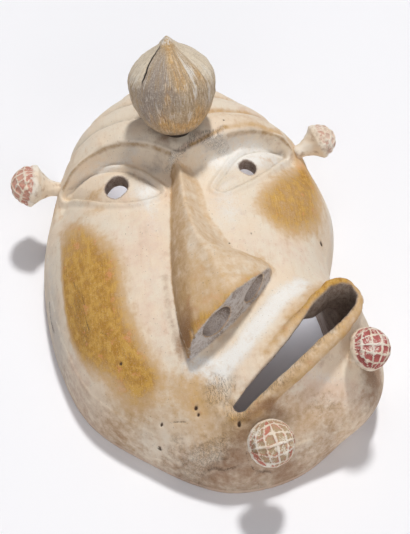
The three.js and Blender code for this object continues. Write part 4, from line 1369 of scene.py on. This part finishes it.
def paintKnob():
    # streaked wood, rubbed ochre, grey-brown patches, remains of white, painted shade at the foot and in cuts
    material, wire, shader = newMaterial("streakedWood")
    place = wire.node("ShaderNodeTexCoord", output="Object")
    broad, streak, hair = noisesOf(wire.stored("fibre", "Vector"), knobFibres).values()
    mottle, grit = noisesOf(place, knobNoises).values()
    ochre, taupe, white, groove, petal, rise = (
        wire.stored(name) for name in ("ochre", "taupe", "white", "groove", "petal", "rise")
    )
    uneven = (broad - 0.5) * 1.6 + (streak - 0.5) * 1.8 + (mottle - 0.5) * 0.8 + (hair - 0.5) * 0.9
    colour = (streak * 0.6 + broad * 0.4).smooth(0.38, 0.6).blend(knob["wood"], knob["paleWood"])
    colour = (taupe + uneven * 0.7).smooth(0.1, 0.7).blend(colour, knob["taupe"])
    rubbed = (hair * 0.5 + mottle * 0.5).smooth(0.38, 0.6).blend(knob["ochreDeep"], knob["ochre"])
    colour = (ochre + uneven * 0.8).smooth(0.15, 0.75).blend(colour, rubbed)
    colour = (white + uneven).smooth(0.25, 0.8).blend(colour, knob["white"])
    colour = (petal * (0.5 + mottle * 0.4)).blend(colour, knob["petal"])
    pale = hair.smooth(0.56, 0.66) * (mottle.smooth(0.38, 0.6) * 0.7 + 0.15)
    colour = pale.blend(colour, knob["white"])
    dark = hair.smooth(0.44, 0.34) * (0.35 + mottle.smooth(0.4, 0.6) * 0.35)
    colour = dark.blend(colour, knob["dark"])
    colour = (grit.smooth(0.56, 0.64) * 0.35).blend(colour, knob["petal"])
    colour = (grit.smooth(0.43, 0.35) * 0.3).blend(colour, knob["dark"])
    chips = rise.smooth(*knob["tuftChips"]) * grit.smooth(0.42, 0.52)
    colour = (chips * 0.85).blend(colour, knob["white"])
    # painted shade, darker towards the foot and nearly black right at it
    colour = (rise.smooth(*knob["footShade"]) * 0.45).blend(colour, knob["dark"])
    colour = (rise.smooth(*knob["footShadow"]) * 0.95).blend(colour, knob["groove"])
    # painted shade in the petal cuts
    colour = groove.smooth(0.25, 0.7).blend(colour, knob["groove"])
    height = streak * 0.5 + hair * 0.4 + grit * 0.2 + mottle * 0.3
    finishMaterial(wire, shader, colour, 0.58 + grit * 0.25, height, strength=0.55, depth=0.0007)
    return material


def studOutline(stud):
    # a flaring stalk that runs into a round cap
    cap, length, stalk = stud["cap"], stud["length"], studShape["stalk"]
    stalkRows, capRows = studShape["rows"]
    neck = (length - cap * studShape["capDepth"]) * studShape["neckShare"]
    t = np.linspace(0, 1, stalkRows)
    a = np.linspace(0, math.pi / 2, capRows)[1:]
    heights = np.concatenate([[studShape["root"]], neck * t, neck + (length - neck) * np.sin(a)])
    flared = stalk + (cap - stalk) * t ** studShape["flare"]
    radii = np.concatenate([[stalk], flared, cap * np.cos(a) + studShape["tip"]])
    return np.stack([heights, radii], -1)


def store(wire, geometry, name, value):
    inputs = {"Geometry": geometry, "Name": name, "Value": value}
    return wire.node("GeometryNodeStoreNamedAttribute", {"data_type": "FLOAT", "domain": "POINT"}, inputs)


def gridTree(material):
    # cuts a chequered grid into a round cap: square fields between raised ridges
    tree = bpy.data.node_groups.new("capGrid", "GeometryNodeTree")
    panel = tree.interface
    panel.new_socket("Geometry", in_out="OUTPUT", socket_type="NodeSocketGeometry")
    kinds = {"Geometry": "Geometry"}
    kinds.update({name: "Vector" for name in ("Centre", "Aim", "Across", "Over")})
    kinds.update({name: "Float" for name in ("Radius", "Pitch", "Ridge", "Depth", "Reach", "Drift")})
    sockets = {
        name: panel.new_socket(name, in_out="INPUT", socket_type="NodeSocket" + kind).identifier
        for name, kind in kinds.items()
    }
    wire = Wire(tree)
    source = tree.nodes.new("NodeGroupInput")
    given = {name: Wire(tree, source.outputs[name]) for name in kinds}
    position = wire.node("GeometryNodeInputPosition")
    normal = wire.node("GeometryNodeInputNormal")
    away = wire.vectors("SUBTRACT", position, given["Centre"])
    ahead, across, over = (
        wire.vectors("DOT_PRODUCT", away, given[name], output="Value") for name in ("Aim", "Across", "Over")
    )
    lines = []
    stored = given["Geometry"]
    for name, side, shift in (("cellAcross", across, 0.0), ("cellOver", over, grid["driftApart"])):
        where = wire.vectors("ADD", position, (shift, 0, 0))
        drift = where.noise(grid["driftScale"], 2.0, 0.5) - 0.5
        cells = wire.maths("ARCTAN2", side, ahead) * given["Radius"] / given["Pitch"] + drift * given["Drift"]
        nearest = abs(wire.maths("FRACT", cells) - 0.5)  # 0.5 on a ridge, 0 in the middle of a field
        beside = (0.5 - nearest) * given["Pitch"]
        half = given["Ridge"] * 0.5
        lines.append(1 - beside.smooth(half * 0.5, half * 1.5))
        stored = store(wire, stored, name, cells)
    ridge = wire.maths("MAXIMUM", *lines)
    onCap = ahead.smooth(given["Reach"], given["Reach"] + grid["reachSoft"])
    field = (1 - ridge) * onCap
    stored = store(wire, stored, "field", field)
    stored = store(wire, stored, "cap", onCap)
    inward = field * given["Depth"] * -1
    offset = wire.node("ShaderNodeVectorMath", {"operation": "SCALE"}, {0: normal, 3: inward})
    moved = wire.node("GeometryNodeSetPosition", {}, {"Geometry": stored, "Offset": offset})
    real = wire.node("GeometryNodeRealizeInstances", {}, {0: moved})
    done = wire.node("GeometryNodeSetMaterial", {}, {"Geometry": real, "Material": material})
    end = tree.nodes.new("NodeGroupOutput")
    tree.links.new(done.socket, end.inputs[0])
    return tree, sockets


def makeStud(name, stud, tree, sockets, material):
    points, faces = turned(studOutline(stud), stud["foot"], stud["aim"], studShape["sides"])
    rise, size, seed = studShape["worn"]
    rough = rise * wave(points[:, 0] * studShape["wornStretch"], points[:, 1] + points[:, 2], size, seed)
    aim, across, over = axesOf(stud["aim"])
    centre = np.array(stud["foot"]) + (stud["length"] - stud["cap"]) * aim
    away = points - centre
    inward = (studShape["sink"] + np.abs(rough))[:, None]
    points = points - away / np.linalg.norm(away, axis=1)[:, None] * inward
    turn = math.radians(stud["gridTurn"])
    values = {
        "Centre": centre.tolist(),
        "Aim": aim.tolist(),
        "Across": (across * math.cos(turn) + over * math.sin(turn)).tolist(),
        "Over": (over * math.cos(turn) - across * math.sin(turn)).tolist(),
        "Radius": stud["cap"],
        "Pitch": stud["cap"] * grid["pitch"],
        "Ridge": grid["ridge"],
        "Depth": grid["depth"],
        "Reach": stud["cap"] * grid["reach"],
        "Drift": grid["drift"],
    }
    inputs = {sockets[key]: value for key, value in values.items()}
    mesh = applied(makeMesh("stud_" + name, points, faces), "NODES", {"node_group": tree}, inputs)
    mesh.shade_smooth()
    return addPiece("stud_" + name + "_cap", mesh, "stud_" + name, material)


def paintStud(name, stud):
    # chalky cream over the stalk and the ridges, coloured fields between them
    material, wire, shader = newMaterial("capPaint_" + name)
    place = wire.node("ShaderNodeTexCoord", output="Object")
    inField, cap, cellAcross, cellOver = (
        wire.stored(kept) for kept in ("field", "cap", "cellAcross", "cellOver")
    )
    mottle = place.noise(190, 4, 0.6)
    grit = place.noise(1200, 3, 0.6)
    cloud = place.noise(70, 2)
    cell = {0: wire.maths("FLOOR", cellAcross), 1: wire.maths("FLOOR", cellOver)}
    number = wire.node("ShaderNodeCombineXYZ", {}, cell)
    pick = wire.node("ShaderNodeTexWhiteNoise", {"noise_dimensions": "3D"}, {"Vector": number})
    colour = cloud.smooth(0.4, 0.6).blend(studPaint["cream"], studPaint["stalk"])
    colour = ((1 - cap) * mottle.smooth(0.5, 0.68) * 0.6).blend(colour, studPaint["dirt"])
    edge = inField.smooth(1.0, 0.5) * mottle.smooth(0.44, 0.6)
    picked = pick.smooth(1 - stud["redShare"], 1 - stud["redShare"] * 0.6) * mottle.smooth(0.4, 0.55)
    red = (edge * 0.8 + picked).clipped()
    rubbed = (mottle + grit * 0.7 + (cloud - 0.5) * 0.7 - stud["smear"]).smooth(0.36, 0.56)
    bare = inField.smooth(0.1, 0.55) * rubbed
    colour = (bare * 0.92).blend(colour, red.blend(stud["field"], stud["deepField"]))
    stain = cap * (grit * 0.6 + mottle * 0.4).smooth(0.52, 0.62) * 0.45
    colour = stain.blend(colour, stud["deepField"])
    speck = grit.smooth(0.68, 0.74) * 0.5
    colour = speck.blend(colour, studPaint["dirt"])
    height = mottle * 0.5 + grit * 0.5
    finishMaterial(wire, shader, colour, 0.65 + grit * 0.2, height, strength=0.6, depth=0.0006)
    return material


makeShell(paintShell())
makeKnob(paintKnob())
print("knob made")
for name, stud in studs.items():
    capPaint = paintStud(name, stud)
    makeStud(name, stud, *gridTree(capPaint), capPaint)
print("studs made")

# Floor, light and camera

studio = {
    "target": (12.0, -2.0, 45.0),  # mm, in the carving's frame
    "azimuth": -8.0,
    "elevation": 57.0,
    "distance": 1250.0,
    "pixelsPerMm": 1.36,  # at the target
    "pictureHeight": 534,
    "sensor": 36.0,
    "farthest": 20.0,  # m
    "suns": (  # name, where it comes from, power, spread, colour
        ("window", (0.125, 0.35, 0.928), 2.1, 0.1, (1.0, 1.0, 0.98)),
        ("fill", (0.05, -0.78, 0.62), 0.9, 1.0, (1.0, 0.97, 0.93)),
    ),
    "skyColour": (0.93, 0.93, 1.0),
    "skyPower": (0.13, 0.2),  # at the horizon, and what is added overhead
    "floorColour": (0.89, 0.89, 0.92),
    "floorHalf": 3.0,  # m
    "floorRoughness": 0.8,
    "lamps": (  # light that comes in under the mask: place in mm, width and depth, power
        ((76, 12, 38), (24, 40), 0.03),
        ((0, 112, 52), (60, 30), 0.035),
    ),
    "lampColour": (0.9, 0.93, 1.0),
}


def addFloor():
    material, _, shader = newMaterial("paleFloor", specular=0.5)
    shader.inputs["Base Color"].default_value = (*studio["floorColour"], 1)
    shader.inputs["Roughness"].default_value = studio["floorRoughness"]
    half = studio["floorHalf"]
    floor = bpy.data.meshes.new("floor")
    corners = [(-half, -half, 0), (half, -half, 0), (half, half, 0), (-half, half, 0)]
    floor.from_pydata(corners, [], [(0, 1, 2, 3)])
    floor.materials.append(material)
    addObject("floor", floor)


def addSuns():
    for name, way, power, spread, colour in studio["suns"]:
        sun = bpy.data.lights.new(name, "SUN")
        sun.energy = power
        sun.angle = spread
        sun.color = colour
        addObject(name, sun).rotation_euler = Vector(way).to_track_quat("Z", "Y").to_euler()


def addLamps():
    for place, (width, depth), power in studio["lamps"]:
        lamp = bpy.data.lights.new("underLight", "AREA")
        lamp.shape = "RECTANGLE"
        lamp.size, lamp.size_y = width * metre, depth * metre
        lamp.energy = power
        lamp.color = studio["lampColour"]
        lampObject = addObject("underLight", lamp)
        lampObject.location = Vector((np.array(place) + toRow) * metre)
        lampObject.visible_camera = False


def addSky():
    world = bpy.data.worlds.new("sky")
    world.use_nodes = True
    background = world.node_tree.nodes["Background"]
    background.inputs["Color"].default_value = (*studio["skyColour"], 1)
    wire = Wire(world.node_tree)
    way = wire.node("ShaderNodeTexCoord", output="Generated")
    up = wire.node("ShaderNodeSeparateXYZ", {}, {0: way}, "Z")
    horizon, overhead = studio["skyPower"]
    strength = horizon + up.clipped() * overhead
    world.node_tree.links.new(strength.socket, background.inputs["Strength"])
    bpy.context.scene.world = world


def addCamera():
    azimuth, elevation = math.radians(studio["azimuth"]), math.radians(studio["elevation"])
    level = math.cos(elevation)
    back = Vector((math.sin(azimuth) * level, -math.cos(azimuth) * level, math.sin(elevation)))
    lens = bpy.data.cameras.new("camera")
    lens.sensor_width = studio["sensor"]
    lens.lens = lens.sensor_width * studio["pixelsPerMm"] * studio["distance"] / studio["pictureHeight"]
    lens.clip_end = studio["farthest"]
    camera = addObject("camera", lens)
    target = Vector(np.array(studio["target"]) + toRow)
    camera.location = (target + back * studio["distance"]) * metre
    camera.rotation_euler = (-back).to_track_quat("-Z", "Y").to_euler()
    bpy.context.scene.camera = camera


addFloor()
addSuns()
addLamps()
addSky()
addCamera()
bpy.context.scene.view_settings.view_transform = "Standard"
print("studio set")
